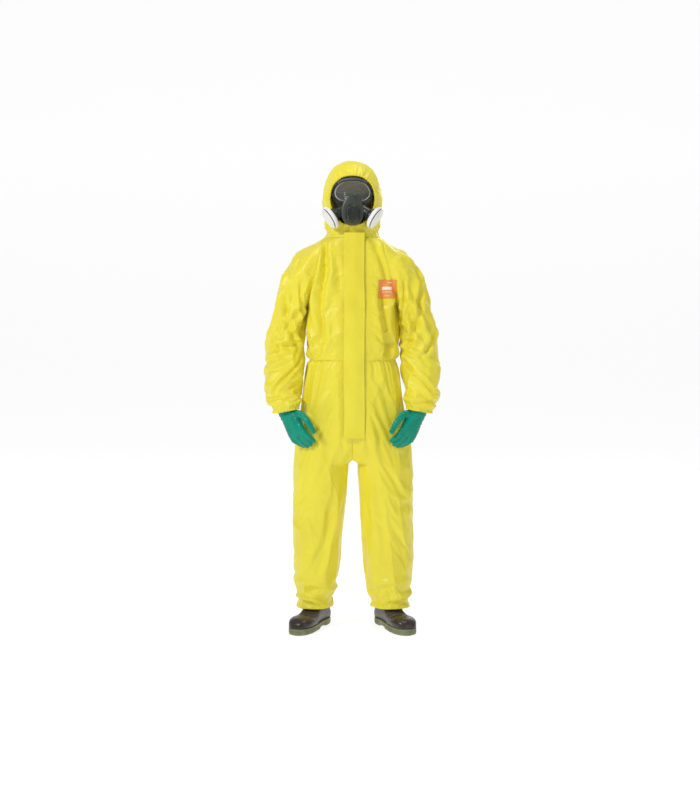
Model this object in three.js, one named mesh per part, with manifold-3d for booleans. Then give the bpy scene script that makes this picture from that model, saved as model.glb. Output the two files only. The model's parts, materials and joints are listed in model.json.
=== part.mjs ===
// A hooded chemical protective suit with its full-face respirator, gloves and boots, empty of its wearer.
// Millimetres. +Z is up, the suit faces -Y, and the wearer's left is +X. The floor is Z = 0.

import * as THREE from 'three';
import { mergeVertices } from 'three/addons/utils/BufferGeometryUtils.js';
import Module from 'manifold-3d';

const wasm = await Module();
wasm.setup();

// ---- Driving dimensions -------------------------------------------------------------------------

const WALL = 2.6; // drawn thickness of every fabric panel
const GAP = 0.4; // clearance between neighbouring pieces
const AROUND = 22; // points round each fabric section
const AROUND_SMALL = 14; // points round the sections of small pieces
const REACH = 2000; // half size of the blocks that only cut

const NECK_Z = 1521; // where the hood meets the collar
const COLLAR_Z = 1497; // lower edge of the collar
const WAIST_TOP_Z = 1040.6;
const WAIST_LOW_Z = 1016;
const CROTCH_Z = 637;
const BEND_Z = 735; // the front line is straight from the neck down to here
const FRONT_AT_NECK = -112;
const FRONT_SLOPE = 24 / (NECK_Z - BEND_Z);

const ARMHOLE_X = 172; // plane where each sleeve leaves the torso
const ARMPIT_Z = 1240;
const ELBOW = new THREE.Vector3(262, 15, 1075);
const ELBOW_RADIUS = 66.5;
const KNEE = new THREE.Vector3(131.5, -8, 490);
const KNEE_RADIUS = 87;

const ZIP_TOP_Z = 1492;
const ZIP_LOW_Z = 752;
const FLAP_INNER_X = -33; // free edge of the storm flap
const FLAP_SEWN_X = 46; // sewn edge, which is also its hinge line
const FLAP_TOP_Z = 1514;
const FLAP_LOW_Z = 733;
const FLAP_STAND = 7.5; // the flap lies this far in front of the panels
const FLAP_THICK = 1.8;

const LABEL_SIZE = 70;
const LABEL_X = 133;
const LABEL_Z = 1300;
const LABEL_STAND = 2.8; // how far its face stands off the chest
const LABEL_THICK = 1.2;

const HOOD_STRIP = 42; // half width of the hood's centre strip
const MASK_BACK_Y = -48;
const FILTER_AT = new THREE.Vector3(83, -128, 1569);
const FILTER_OUT = new THREE.Vector3(0.81, -0.22, -0.545).normalize();
const FILTER_RADIUS = 45;
const PAD_RADIUS = 40.5;
const PORT_DEPTH = 66; // from the filter's middle to the end of its port
const FILTER_THICK = 20;
const PORT_RADIUS = 17;

const CUFF_AT = new THREE.Vector3(250, -98, 846); // centre of the sleeve's end
const HAND_DOWN = new THREE.Vector3(-0.22, -0.33, -0.918).normalize();

const BOOT_AT = new THREE.Vector3(140, 5, 0);
const TOE_OUT = THREE.MathUtils.degToRad(22);
const SOLE_TOP = 23.4;
const TOE_LINE = -125; // the toe guard covers the foot in front of here
const CENTRE_BACK_Y = 26.028; // moves the suit so that its box is centred over the origin

// ---- Materials ----------------------------------------------------------------------------------

function finish(color, roughness, metalness = 0) {
  return new THREE.MeshStandardMaterial({ color, roughness, metalness });
}

const fabric = finish(0xeddd34, 0.5);
const seam = finish(0xd8c42a, 0.6);
const tape = finish(0xe9e4b8, 0.6);
const labelCloth = finish(0xf0a03c, 0.6);
const zipPlastic = finish(0xe0cf3a, 0.45);
const rubber = finish(0x2c2a2a, 0.6);
const blackPlastic = finish(0x32372d, 0.4);
const greyRubber = finish(0x6b6f68, 0.6);
const clear = finish(0xdfe6e6, 0.08);
const filterWhite = finish(0xf2f2ee, 0.7);
const gloveRubber = finish(0x009678, 0.45);
const bootRubber = finish(0x3c3232, 0.35);
const soleRubber = finish(0x82875f, 0.7);

// ---- Solids -------------------------------------------------------------------------------------

const X_AXIS = new THREE.Vector3(1, 0, 0);
const Y_AXIS = new THREE.Vector3(0, 1, 0);
const Z_AXIS = new THREE.Vector3(0, 0, 1);
const DOWN = new THREE.Vector3(0, 0, -1);

function bend(value, power) {
  return Math.sign(value) * Math.abs(value) ** (2 / power);
}

// One ring of points: a superellipse with half size a along u and b along v.
function ring(section, inset = 0) {
  const { at, a, b, u = X_AXIS, v = Y_AXIS, power = 2.3, slant = 0, around = AROUND } = section;
  const points = [];
  for (let i = 0; i < around; i += 1) {
    const angle = (2 * Math.PI * i) / around;
    const along = Math.max(a - inset, 1) * bend(Math.cos(angle), power);
    const across = Math.max(b - inset, 1) * bend(Math.sin(angle), power);
    const point = at.clone().addScaledVector(u, along).addScaledVector(v, across);
    point.z += slant * across;
    points.push(point);
  }
  return points;
}

function signedVolume(geometry) {
  const place = geometry.attributes.position;
  const [p, q, r] = [new THREE.Vector3(), new THREE.Vector3(), new THREE.Vector3()];
  let total = 0;
  for (let i = 0; i < geometry.index.count; i += 3) {
    p.fromBufferAttribute(place, geometry.index.getX(i));
    q.fromBufferAttribute(place, geometry.index.getX(i + 1));
    r.fromBufferAttribute(place, geometry.index.getX(i + 2));
    total += p.dot(q.cross(r));
  }
  return total / 6;
}

// Turns every face of a closed geometry outwards.
function outward(geometry) {
  if (signedVolume(geometry) < 0) {
    const corners = geometry.index.array;
    for (let i = 0; i < corners.length; i += 3) {
      [corners[i + 1], corners[i + 2]] = [corners[i + 2], corners[i + 1]];
    }
  }
  return geometry;
}

function geometryFrom(positions, corners) {
  const geometry = new THREE.BufferGeometry();
  geometry.setAttribute('position', new THREE.Float32BufferAttribute(positions, 3));
  geometry.setIndex(new THREE.Uint32BufferAttribute(corners, 1));
  return geometry;
}

// A skin through a list of rings, joined end to end as a closed wall, or capped at both ends.
function sweep(rings, closed) {
  const count = rings[0].length;
  const positions = rings.flat().flatMap((point) => [point.x, point.y, point.z]);
  const corners = [];
  const steps = closed ? rings.length : rings.length - 1;
  for (let r = 0; r < steps; r += 1) {
    const here = r * count;
    const there = ((r + 1) % rings.length) * count;
    for (let i = 0; i < count; i += 1) {
      const j = (i + 1) % count;
      corners.push(here + i, here + j, there + j, here + i, there + j, there + i);
    }
  }
  if (!closed) {
    const ends = [0, (rings.length - 1) * count];
    ends.forEach((start, end) => {
      for (let i = 1; i < count - 1; i += 1) {
        const fan = [start, start + i, start + i + 1];
        corners.push(...(end === 0 ? fan.reverse() : fan));
      }
    });
  }
  return outward(geometryFrom(positions, corners));
}

function block(sections, inset = 0) {
  return sweep(sections.map((section) => ring(section, inset)), false);
}

function tubeWall(sections, wall = WALL) {
  const outer = sections.map((section) => ring(section));
  const inner = sections.map((section) => ring(section, wall)).reverse();
  return sweep([...outer, ...inner], true);
}

function solid(geometry) {
  const bare = geometry.clone();
  bare.deleteAttribute('normal');
  bare.deleteAttribute('uv');
  const merged = mergeVertices(bare, 1e-4);
  const index = merged.index.array;
  const kept = [];
  for (let i = 0; i < index.length; i += 3) {
    const [a, b, c] = [index[i], index[i + 1], index[i + 2]];
    if (a !== b && b !== c && c !== a) kept.push(a, b, c);
  }
  const vertProperties = new Float32Array(merged.attributes.position.array);
  return new wasm.Manifold(new wasm.Mesh({ numProp: 3, vertProperties, triVerts: new Uint32Array(kept) }));
}

function geometryOf(body) {
  const mesh = body.getMesh();
  return geometryFrom(Array.from(mesh.vertProperties), Array.from(mesh.triVerts));
}

function boxBetween(low, high) {
  const size = new THREE.Vector3().subVectors(high, low);
  const centre = new THREE.Vector3().addVectors(low, high).multiplyScalar(0.5);
  return new THREE.BoxGeometry(size.x, size.y, size.z).translate(centre.x, centre.y, centre.z);
}

// A cutting block: limits left out reach past the whole suit.
function cutter({ x0 = -REACH, x1 = REACH, y0 = -REACH, y1 = REACH, z0 = -REACH, z1 = 2 * REACH }) {
  return solid(boxBetween(new THREE.Vector3(x0, y0, z0), new THREE.Vector3(x1, y1, z1)));
}

// A prism through the suit from front to back, from an outline in X and Z.
function frontPrism(points, inset, y0, y1) {
  const middle = new THREE.Vector2();
  points.forEach(([x, z]) => middle.add(new THREE.Vector2(x, z).divideScalar(points.length)));
  const moved = points.map(([x, z]) => {
    const away = new THREE.Vector2(x, z).sub(middle);
    return away.setLength(away.length() - inset).add(middle);
  });
  const curve = new THREE.SplineCurve([...moved, moved[0]]);
  const shape = new THREE.Shape(curve.getPoints(36).slice(0, -1));
  const prism = new THREE.ExtrudeGeometry(shape, { depth: y1 - y0, bevelEnabled: false, steps: 1 });
  return solid(prism.rotateX(Math.PI / 2).translate(0, y1, 0));
}

function mirrored(points) {
  const other = points.filter(([x]) => x > 0).map(([x, z]) => [-x, z]).reverse();
  return [...points, ...other];
}

// ---- Scene graph --------------------------------------------------------------------------------

const suit = new THREE.Group();
suit.position.y = CENTRE_BACK_Y;

function place(name, geometry, material, at = new THREE.Vector3(), turn = new THREE.Quaternion()) {
  const mesh = new THREE.Mesh(geometry, material);
  mesh.name = name;
  mesh.position.copy(at);
  mesh.quaternion.copy(turn);
  suit.add(mesh);
}

// The wearer's left piece as it is drawn, and the right one as its mirror image.
function placePair(name, geometry, material, at = new THREE.Vector3(), turn = new THREE.Quaternion()) {
  place(`${name}_left`, geometry, material, at, turn);
  const flipped = outward(geometry.clone().applyMatrix4(new THREE.Matrix4().makeScale(-1, 1, 1)));
  const otherAt = new THREE.Vector3(-at.x, at.y, at.z);
  const otherTurn = new THREE.Quaternion(turn.x, -turn.y, -turn.z, turn.w);
  place(`${name}_right`, flipped, material, otherAt, otherTurn);
}

// ---- Torso --------------------------------------------------------------------------------------

function frontLine(z) {
  if (z >= BEND_Z) return FRONT_AT_NECK - (NECK_Z - z) * FRONT_SLOPE;
  return FRONT_AT_NECK - (NECK_Z - BEND_Z) * FRONT_SLOPE + (BEND_Z - z) * 0.25;
}

// A level section of the body, from its half width and the place of its back.
function bodySection([z, halfWidth, back, power = 2.3]) {
  const front = frontLine(z);
  const at = new THREE.Vector3(0, (front + back) / 2, z);
  return { at, a: halfWidth, b: (back - front) / 2, power };
}

const TORSO = [
  [WAIST_TOP_Z + GAP, 165, 112], [1060, 170, 116], [1130, 171, 122], [1200, 171, 126], [ARMPIT_Z, 171.5, 128],
  [1270, 186, 128], [1340, 205, 128], [1420, 216, 124], [1456, 206, 116], [1474, 178, 108],
  [1486, 146, 100, 2.2], [COLLAR_Z - GAP, 112, 90, 2.1],
];
const COLLAR = [[COLLAR_Z, 111, 90, 2.1], [1508, 97, 84, 2.1], [NECK_Z, 92, 78, 2.1]];
const WAIST = [[WAIST_LOW_Z, 163, 110], [WAIST_TOP_Z, 164, 111]];

function makeTorso() {
  const wall = solid(tubeWall(TORSO.map(bodySection)));
  const shell = wall.intersect(cutter({ x0: -ARMHOLE_X, x1: ARMHOLE_X }));
  const sideY = -4; // the side seams run down just in front of the middle
  place('back_panel', geometryOf(shell.intersect(cutter({ y0: sideY + GAP }))), fabric);
  const front = shell.intersect(cutter({ y1: sideY, x0: 4 }));
  placePair('front_panel', geometryOf(front), fabric);
  const collar = solid(tubeWall(COLLAR.map(bodySection))).subtract(cutter({ x0: -4, x1: 4, y1: -20 }));
  place('collar', geometryOf(collar), seam);
  place('waist_elastic', tubeWall(WAIST.map(bodySection), 3.2), seam);
  const label = solid(tubeWall(TORSO.map(([z, width, back]) => {
    const section = bodySection([z, width, back]);
    return { ...section, a: section.a + LABEL_STAND, b: section.b + LABEL_STAND };
  }), LABEL_THICK));
  const half = LABEL_SIZE / 2;
  place('chest_label', geometryOf(label.intersect(cutter({
    x0: LABEL_X - half, x1: LABEL_X + half, y1: 0, z0: LABEL_Z - half, z1: LABEL_Z + half,
  }))), labelCloth);
}

// ---- Front closure: zip, inner flap and storm flap, all along the straight front line ------------

// A strip lying along the front line. out is how far its back stands in front of the panels.
function strip(x0, x1, out, thick, z0, z1) {
  const tilt = Math.atan(FRONT_SLOPE);
  const geometry = boxBetween(new THREE.Vector3(x0, -out - thick, z0 - NECK_Z),
    new THREE.Vector3(x1, -out, z1 - NECK_Z));
  return { geometry, tilt };
}

function placeStrip(name, x0, x1, out, thick, z0, z1, material) {
  const { geometry, tilt } = strip(x0, x1, out, thick, z0, z1);
  const turn = new THREE.Quaternion().setFromAxisAngle(X_AXIS, -tilt);
  place(name, geometry, material, new THREE.Vector3(0, FRONT_AT_NECK, NECK_Z), turn);
}

function makeClosure() {
  placeStrip('zip_tape_left', 2.2, 15, 0.5, 0.8, ZIP_LOW_Z, ZIP_TOP_Z, tape);
  placeStrip('zip_tape_right', -15, -2.2, 0.5, 0.8, ZIP_LOW_Z, ZIP_TOP_Z, tape);
  placeStrip('zip_teeth_left', 0.2, 2.9, 1.7, 1.3, ZIP_LOW_Z + 6, ZIP_TOP_Z - 5, zipPlastic);
  placeStrip('zip_teeth_right', -2.9, -0.2, 1.7, 1.3, ZIP_LOW_Z + 6, ZIP_TOP_Z - 5, zipPlastic);
  placeStrip('zip_top_stop', -3.5, 3.5, 1.7, 2, ZIP_TOP_Z - 4.5, ZIP_TOP_Z - 1, zipPlastic);
  placeStrip('zip_bottom_stop', -4, 4, 1.7, 2.2, ZIP_LOW_Z + 1, ZIP_LOW_Z + 5.5, zipPlastic);
  placeStrip('zip_slider', -5, 5, 3.4, 1.5, ZIP_TOP_Z - 24, ZIP_TOP_Z - 10, zipPlastic);
  placeStrip('zip_puller', -3, 3, 5.2, 0.9, ZIP_TOP_Z - 44, ZIP_TOP_Z - 14, zipPlastic);
  placeStrip('inner_flap', -26, 26, -6.2, 1.2, ZIP_LOW_Z, ZIP_TOP_Z, fabric);
  placeStrip('storm_flap', FLAP_INNER_X, FLAP_SEWN_X, FLAP_STAND, FLAP_THICK, FLAP_LOW_Z, FLAP_TOP_Z, fabric);
  const tapeOut = FLAP_STAND - GAP - 0.6;
  placeStrip('flap_tape', -31, -21, tapeOut, 0.6, FLAP_LOW_Z + 20, FLAP_TOP_Z - 30, tape);
}

// ---- Trousers -----------------------------------------------------------------------------------

const PELVIS = [
  [CROTCH_Z, 224, 104], [700, 226, 118], [BEND_Z, 222, 122], [780, 214, 126], [850, 200, 126], [913, 189, 124],
  [980, 178, 118], [WAIST_LOW_Z - GAP, 163, 110],
];

// A level section of one leg, from its centre and its half width and half depth.
function legSection([z, x, halfWidth, y, halfDepth, slant = 0]) {
  return { at: new THREE.Vector3(x, y, z), a: halfWidth, b: halfDepth, power: 2.15, slant };
}

const THIGH = [
  [511, 131.5, 95.5, -8, 94, 0.356], [570, 128, 99, -9, 96, 0.12], [CROTCH_Z - 14, 124, 102, -10, 99],
  [700, 118, 104, -10, 100],
];
const SHIN = [
  [97, 146, 71, 2, 79], [150, 144, 80, 0, 84], [255, 140, 88, -4, 88], [420, 134, 88, -7, 88],
  [470, 132, KNEE_RADIUS, -8, KNEE_RADIUS],
];
const HEM = [[75, 146, 71, 2, 79], [96.6, 146, 71, 2, 79]];

// The upper part of a ball round a joint, as level rings. It turns inside the part above it.
function ballSections(centre, radius) {
  return [90, 75, 60, 45].map((degrees) => {
    const angle = THREE.MathUtils.degToRad(degrees);
    const at = centre.clone().addScaledVector(Z_AXIS, radius * Math.cos(angle));
    const level = radius * Math.sin(angle);
    return { at, a: level, b: level, power: 2 };
  });
}

function makeTrousers() {
  const pelvis = PELVIS.map(bodySection);
  const thigh = THIGH.map(legSection);
  const lowered = pelvis.map((section, i) => (i === 0
    ? { ...section, at: section.at.clone().setZ(CROTCH_Z + WALL) } : section));
  const raised = [...lowered, { ...pelvis.at(-1), at: pelvis.at(-1).at.clone().setZ(WAIST_TOP_Z) }];
  const low = legSection([400, 131.5, 95.5, -8, 94, 0.356]);
  const outer = solid(block(pelvis)).add(solid(block(thigh)));
  const inner = solid(block(raised, WALL)).add(solid(block([low, ...thigh], WALL)));
  const half = outer.subtract(inner).intersect(cutter({ x0: 0.2 }));
  placePair('trouser', geometryOf(half), fabric);
  placePair('lower_leg', tubeWall([...SHIN.map(legSection), ...ballSections(KNEE, KNEE_RADIUS)]), fabric);
  placePair('ankle_hem', tubeWall(HEM.map(legSection), 3), seam);
}

// ---- Sleeves ------------------------------------------------------------------------------------

// A sleeve section between a point on its inner side and one on its outer side, both as [x, z].
function armSection([inner, outer, y, halfDepth, slant = 0]) {
  const low = new THREE.Vector3(inner[0], y, inner[1]);
  const high = new THREE.Vector3(outer[0], y, outer[1]);
  const u = new THREE.Vector3().subVectors(high, low);
  const a = u.length() / 2;
  return { at: low.add(high).multiplyScalar(0.5), a, b: halfDepth, u: u.normalize(), power: 2.15, slant };
}

const UPPER_ARM = [
  [[172.6, ARMPIT_Z], [172.6, 1474], 2, 92], [[175, 1236], [205, 1456], 2, 90], [[177, 1228], [240, 1416], 3, 84],
  [[179, 1212], [274, 1344], 4, 78], [[182, 1182], [294, 1267], 7, 75], [[185, 1146], [319, 1181], 11, 74],
  [[190, 1098.5], [334, 1098.5], 15, 72, -0.55],
];
const FOREARM = [
  [[200, 867], [309, 849], -92, 53], [[202, 900], [322, 888], -75, 58], [[204, 950], [330, 944], -50, 61],
  [[193, 1010], [332, 1008], -19, 64], [[196, 1050], [328, 1050], 4, 64],
];
const CUFF = [[[201, 843], [300, 826], -101, 48], [[200, 866.4], [303, 849.4], -93, 50]];

function makeSleeves() {
  placePair('upper_sleeve', tubeWall(UPPER_ARM.map(armSection)), fabric);
  const ball = ballSections(ELBOW, ELBOW_RADIUS);
  placePair('lower_sleeve', tubeWall([...FOREARM.map(armSection), ...ball]), fabric);
  placePair('cuff_elastic', tubeWall(CUFF.map(armSection), 3), seam);
}

// ---- Hood ---------------------------------------------------------------------------------------

const HOOD = [
  [NECK_Z + GAP, 94, -104, 90], [1552, 104, -110, 105], [1608, 113, -116, 122], [1670, 115, -117, 130],
  [1707, 107, -113, 130], [1743, 91, -97, 120], [1769, 74, -76, 102], [1788, 50, -48, 74], [1800, 18, -12, 36],
];
const FACE_OPENING = mirrored([
  [0, 1737], [42, 1729], [74, 1701], [86, 1658], [82, 1612], [68, 1572], [46, 1541], [0, 1530],
]);

// A level section from its half width and the places of its front and back.
function headSection([z, halfWidth, front, back]) {
  const at = new THREE.Vector3(0, (front + back) / 2, z);
  return { at, a: halfWidth, b: (back - front) / 2, power: 2.15 };
}

function insideOf(sections, wall, z) {
  const first = sections[0];
  return [{ ...first, at: first.at.clone().setZ(z) }, ...sections.slice(0, -1), {
    ...sections.at(-1), at: sections.at(-1).at.clone().addScaledVector(Z_AXIS, -wall),
  }];
}

function makeHood() {
  const sections = HOOD.map(headSection);
  const inner = solid(block(insideOf(sections, WALL, NECK_Z - 20), WALL));
  const shell = solid(block(sections)).subtract(inner);
  const open = shell.subtract(frontPrism(FACE_OPENING, 0, -200, -20));
  const chin = cutter({ x0: 0.2, y1: -40, z1: 1600 });
  const centreChin = cutter({ y1: -40 + GAP, z1: 1600 + GAP });
  const side = open.intersect(cutter({ x0: HOOD_STRIP + GAP }).add(chin));
  placePair('hood', geometryOf(side), fabric);
  const centre = open.intersect(cutter({ x0: -HOOD_STRIP, x1: HOOD_STRIP })).subtract(centreChin);
  place('hood_centre', geometryOf(centre), fabric);
  const edge = shell.intersect(frontPrism(FACE_OPENING, GAP, -200, -20))
    .subtract(frontPrism(FACE_OPENING, 8, -200, -20));
  place('face_elastic', geometryOf(edge), seam);
}

// ---- Respirator ---------------------------------------------------------------------------------

const MASK = [
  [1541, 32, -112], [1560, 45, -126], [1600, 60, -131], [1640, 75, -128], [1680, 80, -118], [1706, 68, -106],
  [1727, 44, -90],
].map(([z, halfWidth, front]) => [z, halfWidth, front, -90 - front]);
const LENS_OUTLINE = mirrored([
  [0, 1714], [40, 1710], [62, 1694], [74, 1668], [70, 1648], [56, 1633], [30, 1628], [0, 1630],
]);
const SHROUD_OUTLINE = mirrored([[0, 1662], [12, 1659], [21, 1646], [29, 1626], [33, 1602], [0, 1590]]);
const MOUTH_Z = 1579;
const MASK_WALL = 4;

function maskShell(grow, wall) {
  const sections = MASK.map(headSection).map((section) => ({
    ...section, a: section.a + grow, b: section.b + grow,
  }));
  const top = sections.at(-1);
  const low = sections[0];
  const outer = [{ ...low, at: low.at.clone().addScaledVector(Z_AXIS, -grow) }, ...sections.slice(1, -1),
    { ...top, at: top.at.clone().addScaledVector(Z_AXIS, grow) }];
  const inner = [{ ...low, at: low.at.clone().addScaledVector(Z_AXIS, wall - grow) }, ...sections.slice(1, -1),
    { ...top, at: top.at.clone().addScaledVector(Z_AXIS, grow - wall) }];
  const front = cutter({ y1: MASK_BACK_Y });
  return solid(block(outer)).subtract(solid(block(inner, wall))).intersect(front);
}

function rounded(points, at) {
  return points.map(([y, a, b]) => ({
    at: new THREE.Vector3(0, y, 0).add(at), a, b, u: X_AXIS, v: Z_AXIS, power: 2.2, around: AROUND_SMALL,
  }));
}

function lathe(points, around = 20) {
  return new THREE.LatheGeometry(points.map(([r, z]) => new THREE.Vector2(r, z)), around).rotateX(Math.PI / 2);
}

function makeRespirator() {
  const lensHole = frontPrism(LENS_OUTLINE, 0, -200, -60);
  place('face_seal', geometryOf(maskShell(0, MASK_WALL).subtract(lensHole)), rubber);
  const lens = maskShell(0, 2.5).intersect(frontPrism(LENS_OUTLINE, GAP, -200, -62));
  place('lens', geometryOf(lens), clear);
  const rim = maskShell(3.4, 3).intersect(frontPrism(LENS_OUTLINE, -5, -200, -66))
    .subtract(frontPrism(LENS_OUTLINE, 3, -200, -40));
  place('lens_frame', geometryOf(rim), blackPlastic);

  const mouth = new THREE.Vector3(0, 0, MOUTH_Z);
  const cup = solid(block(rounded([[-60, 33, 26], [-90, 28, 23], [-112, 17, 16]], mouth)));
  const cupInside = solid(block(rounded([[-50, 31, 24], [-60, 30.5, 23.5], [-90, 25.5, 20.5], [-109, 14, 13]], mouth)));
  place('nose_cup', geometryOf(cup.subtract(cupInside)), greyRubber);

  const dome = solid(block(rounded([[-170, 14, 24], [-164, 22, 33], [-150, 26, 38], [-133.5, 27, 39]], mouth)));
  const hollow = solid(block(rounded([[-165, 14, 24], [-150, 22, 34], [-133, 23, 35], [-120, 23, 35]], mouth)));
  const cover = dome.add(frontPrism(SHROUD_OUTLINE, 0, -139.5, -136.5));
  place('front_cover', geometryOf(cover.subtract(hollow)), blackPlastic);
  place('exhalation_valve', lathe([[0, -2], [17, -2], [17, 0], [6, 3], [0, 3]]), greyRubber,
    new THREE.Vector3(0, -144, MOUTH_Z), new THREE.Quaternion().setFromUnitVectors(Z_AXIS, new THREE.Vector3(0, -1, 0)));

  const turn = new THREE.Quaternion().setFromUnitVectors(Z_AXIS, FILTER_OUT);
  const half = FILTER_THICK / 2;
  const port = lathe([[0, -PORT_DEPTH], [PORT_RADIUS, -PORT_DEPTH], [PORT_RADIUS, -24], [26, -22], [26, -half - GAP], [0, -half - GAP]]);
  const placed = port.clone().applyQuaternion(turn).translate(FILTER_AT.x, FILTER_AT.y, FILTER_AT.z);
  const clearOf = solid(block(MASK.map(headSection).map((section) => ({
    ...section, a: section.a + GAP, b: section.b + GAP,
  })))).add(solid(block(rounded([[-175, 27.5, 39.5], [-100, 27.5, 39.5]], mouth))))
    .add(frontPrism(SHROUD_OUTLINE, -GAP, -140, -136));
  placePair('inhalation_port', geometryOf(solid(placed).subtract(clearOf)), blackPlastic);
  const body = [[0, -half], [FILTER_RADIUS - 7, -half], [FILTER_RADIUS, -half + 6], [FILTER_RADIUS, half - 3],
    [FILTER_RADIUS - 3, half], [0, half]];
  placePair('filter_body', lathe(body), filterWhite, FILTER_AT, turn);
  const pad = [[0, half + GAP], [PAD_RADIUS, half + GAP], [PAD_RADIUS, half + 2], [30, half + 4], [0, half + 4]];
  placePair('filter_pad', lathe(pad), filterWhite, FILTER_AT, turn);

  const behind = cutter({ y0: MASK_BACK_Y + 2 });
  [['upper_strap', 1664, 1684, 98, 112], ['lower_strap', 1578, 1596, 92, 100]].forEach(([name, z0, z1, a, back]) => {
    const loop = tubeWall([z0, z1].map((z) => headSection([z, a, -back, back])), 2);
    place(name, geometryOf(solid(loop).intersect(behind)), rubber);
  });
}

// ---- Gloves -------------------------------------------------------------------------------------

function capsule(from, to, radius) {
  const along = new THREE.Vector3().subVectors(to, from);
  const turn = new THREE.Quaternion().setFromUnitVectors(Y_AXIS, along.clone().normalize());
  const middle = new THREE.Vector3().addVectors(from, to).multiplyScalar(0.5);
  const geometry = new THREE.CapsuleGeometry(radius, along.length(), 2, 8);
  return geometry.applyQuaternion(turn).translate(middle.x, middle.y, middle.z);
}

const GLOVE = [[55, 36.5, 35.5], [0, 36, 34], [-24, 33, 28], [-44, 38, 23], [-72, 45, 20], [-104, 45, 18], [-117, 41, 13]];
const FINGERS = [[-33, 54], [-11, 62], [11, 58], [33, 44]]; // across the hand, and length
const FINGER_RADIUS = 10.4;

// In the glove's own frame the hand points along -Z, the back of the hand faces -Y and the thumb is at -X.
function makeGloves() {
  const sections = GLOVE.map(([z, a, b]) => ({
    at: new THREE.Vector3(0, 0, z), a, b, power: 2.4, around: AROUND_SMALL,
  }));
  let hand = solid(block(sections));
  FINGERS.forEach(([x, length]) => {
    const knuckle = new THREE.Vector3(x, -2, -108);
    const bendAt = new THREE.Vector3(x * 0.95, 4, -108 - length * 0.55);
    const tip = new THREE.Vector3(x * 0.85, 20, -108 - length * 0.82);
    hand = hand.add(solid(capsule(knuckle, bendAt, FINGER_RADIUS)));
    hand = hand.add(solid(capsule(bendAt, tip, FINGER_RADIUS * 0.93)));
  });
  const thumbJoint = new THREE.Vector3(-50, 4, -74);
  hand = hand.add(solid(capsule(new THREE.Vector3(-30, 4, -44), thumbJoint, 13)));
  hand = hand.add(solid(capsule(thumbJoint, new THREE.Vector3(-55, 8, -104), 11.5)));
  const inside = [{ ...sections[0], at: new THREE.Vector3(0, 0, 70) }, ...sections.slice(0, -1)];
  const turn = new THREE.Quaternion().setFromUnitVectors(DOWN, HAND_DOWN);
  placePair('glove', geometryOf(hand.subtract(solid(block(inside, 2.4)))), gloveRubber, CUFF_AT, turn);
}

// ---- Boots --------------------------------------------------------------------------------------

const FOOT = [
  [84, 20, 48], [74, 31, 64], [40, 38, 108], [0, 40, 110], [-38, 41, 94], [-58, 43, 78], [-78, 47, 66],
  [-100, 50, 61], [-140, 49, 62], [-172, 41, 54], [-190, 26, 42],
]; // place along the foot, half width, and height of the top
const SHAFT = [[60, 32, 42, 25], [120, 42, 46, 19], [170, 48, 50, 10], [300, 56, 58, 4]]; // z, half sizes, middle y
const SOLE_OUTLINE = [
  [0, 88], [30, 76], [39, 40], [36, 0], [46, -60], [54, -105], [50, -150], [28, -188], [0, -197], [-24, -188],
  [-43, -150], [-48, -105], [-44, -60], [-36, 0], [-38, 40], [-30, 76],
];
const BOOT_WALL = 3.4;

function footSections(inset) {
  return FOOT.map(([y, halfWidth, top]) => {
    const low = SOLE_TOP + GAP + inset;
    const high = top - inset;
    const at = new THREE.Vector3(0, y - Math.sign(y) * inset, (low + high) / 2);
    const half = Math.max((high - low) / 2, 4);
    return { at, a: Math.max(halfWidth - inset, 6), b: half, u: X_AXIS, v: Z_AXIS, power: 2.6, around: AROUND_SMALL };
  });
}

function shaftSections(inset, rise) {
  return SHAFT.map(([z, a, b, y], i) => ({
    at: new THREE.Vector3(0, y, z + (i === SHAFT.length - 1 ? rise : 0)),
    a: a - inset,
    b: b - inset,
    power: 2.1,
    around: AROUND_SMALL,
  }));
}

function makeBoots() {
  const turn = new THREE.Quaternion().setFromAxisAngle(Z_AXIS, TOE_OUT);
  const outer = solid(block(footSections(0))).add(solid(block(shaftSections(0, 0))));
  const inner = solid(block(footSections(BOOT_WALL))).add(solid(block(shaftSections(BOOT_WALL, 20))));
  const shell = outer.subtract(inner);
  placePair('boot_upper', geometryOf(shell.intersect(cutter({ y0: TOE_LINE }))), bootRubber, BOOT_AT, turn);
  placePair('toe_guard', geometryOf(shell.intersect(cutter({ y1: TOE_LINE - GAP }))), bootRubber, BOOT_AT, turn);
  const curve = new THREE.SplineCurve([...SOLE_OUTLINE, SOLE_OUTLINE[0]].map(([x, y]) => new THREE.Vector2(x, y)));
  const plate = new THREE.ExtrudeGeometry(new THREE.Shape(curve.getPoints(40).slice(0, -1)), {
    depth: SOLE_TOP, bevelEnabled: false, steps: 1,
  });
  const arch = cutter({ y0: -42, y1: 14, z1: 8 });
  placePair('outsole', geometryOf(solid(plate).subtract(arch)), soleRubber, BOOT_AT, turn);
}

makeTorso();
makeClosure();
makeTrousers();
makeSleeves();
makeHood();
makeRespirator();
makeGloves();
makeBoots();

export default suit;
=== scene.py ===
import json
import math
import random
from contextlib import contextmanager

import bmesh
import bpy
import numpy as np
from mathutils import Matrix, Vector, noise
from mathutils.bvhtree import BVHTree
from mathutils.kdtree import KDTree

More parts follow.
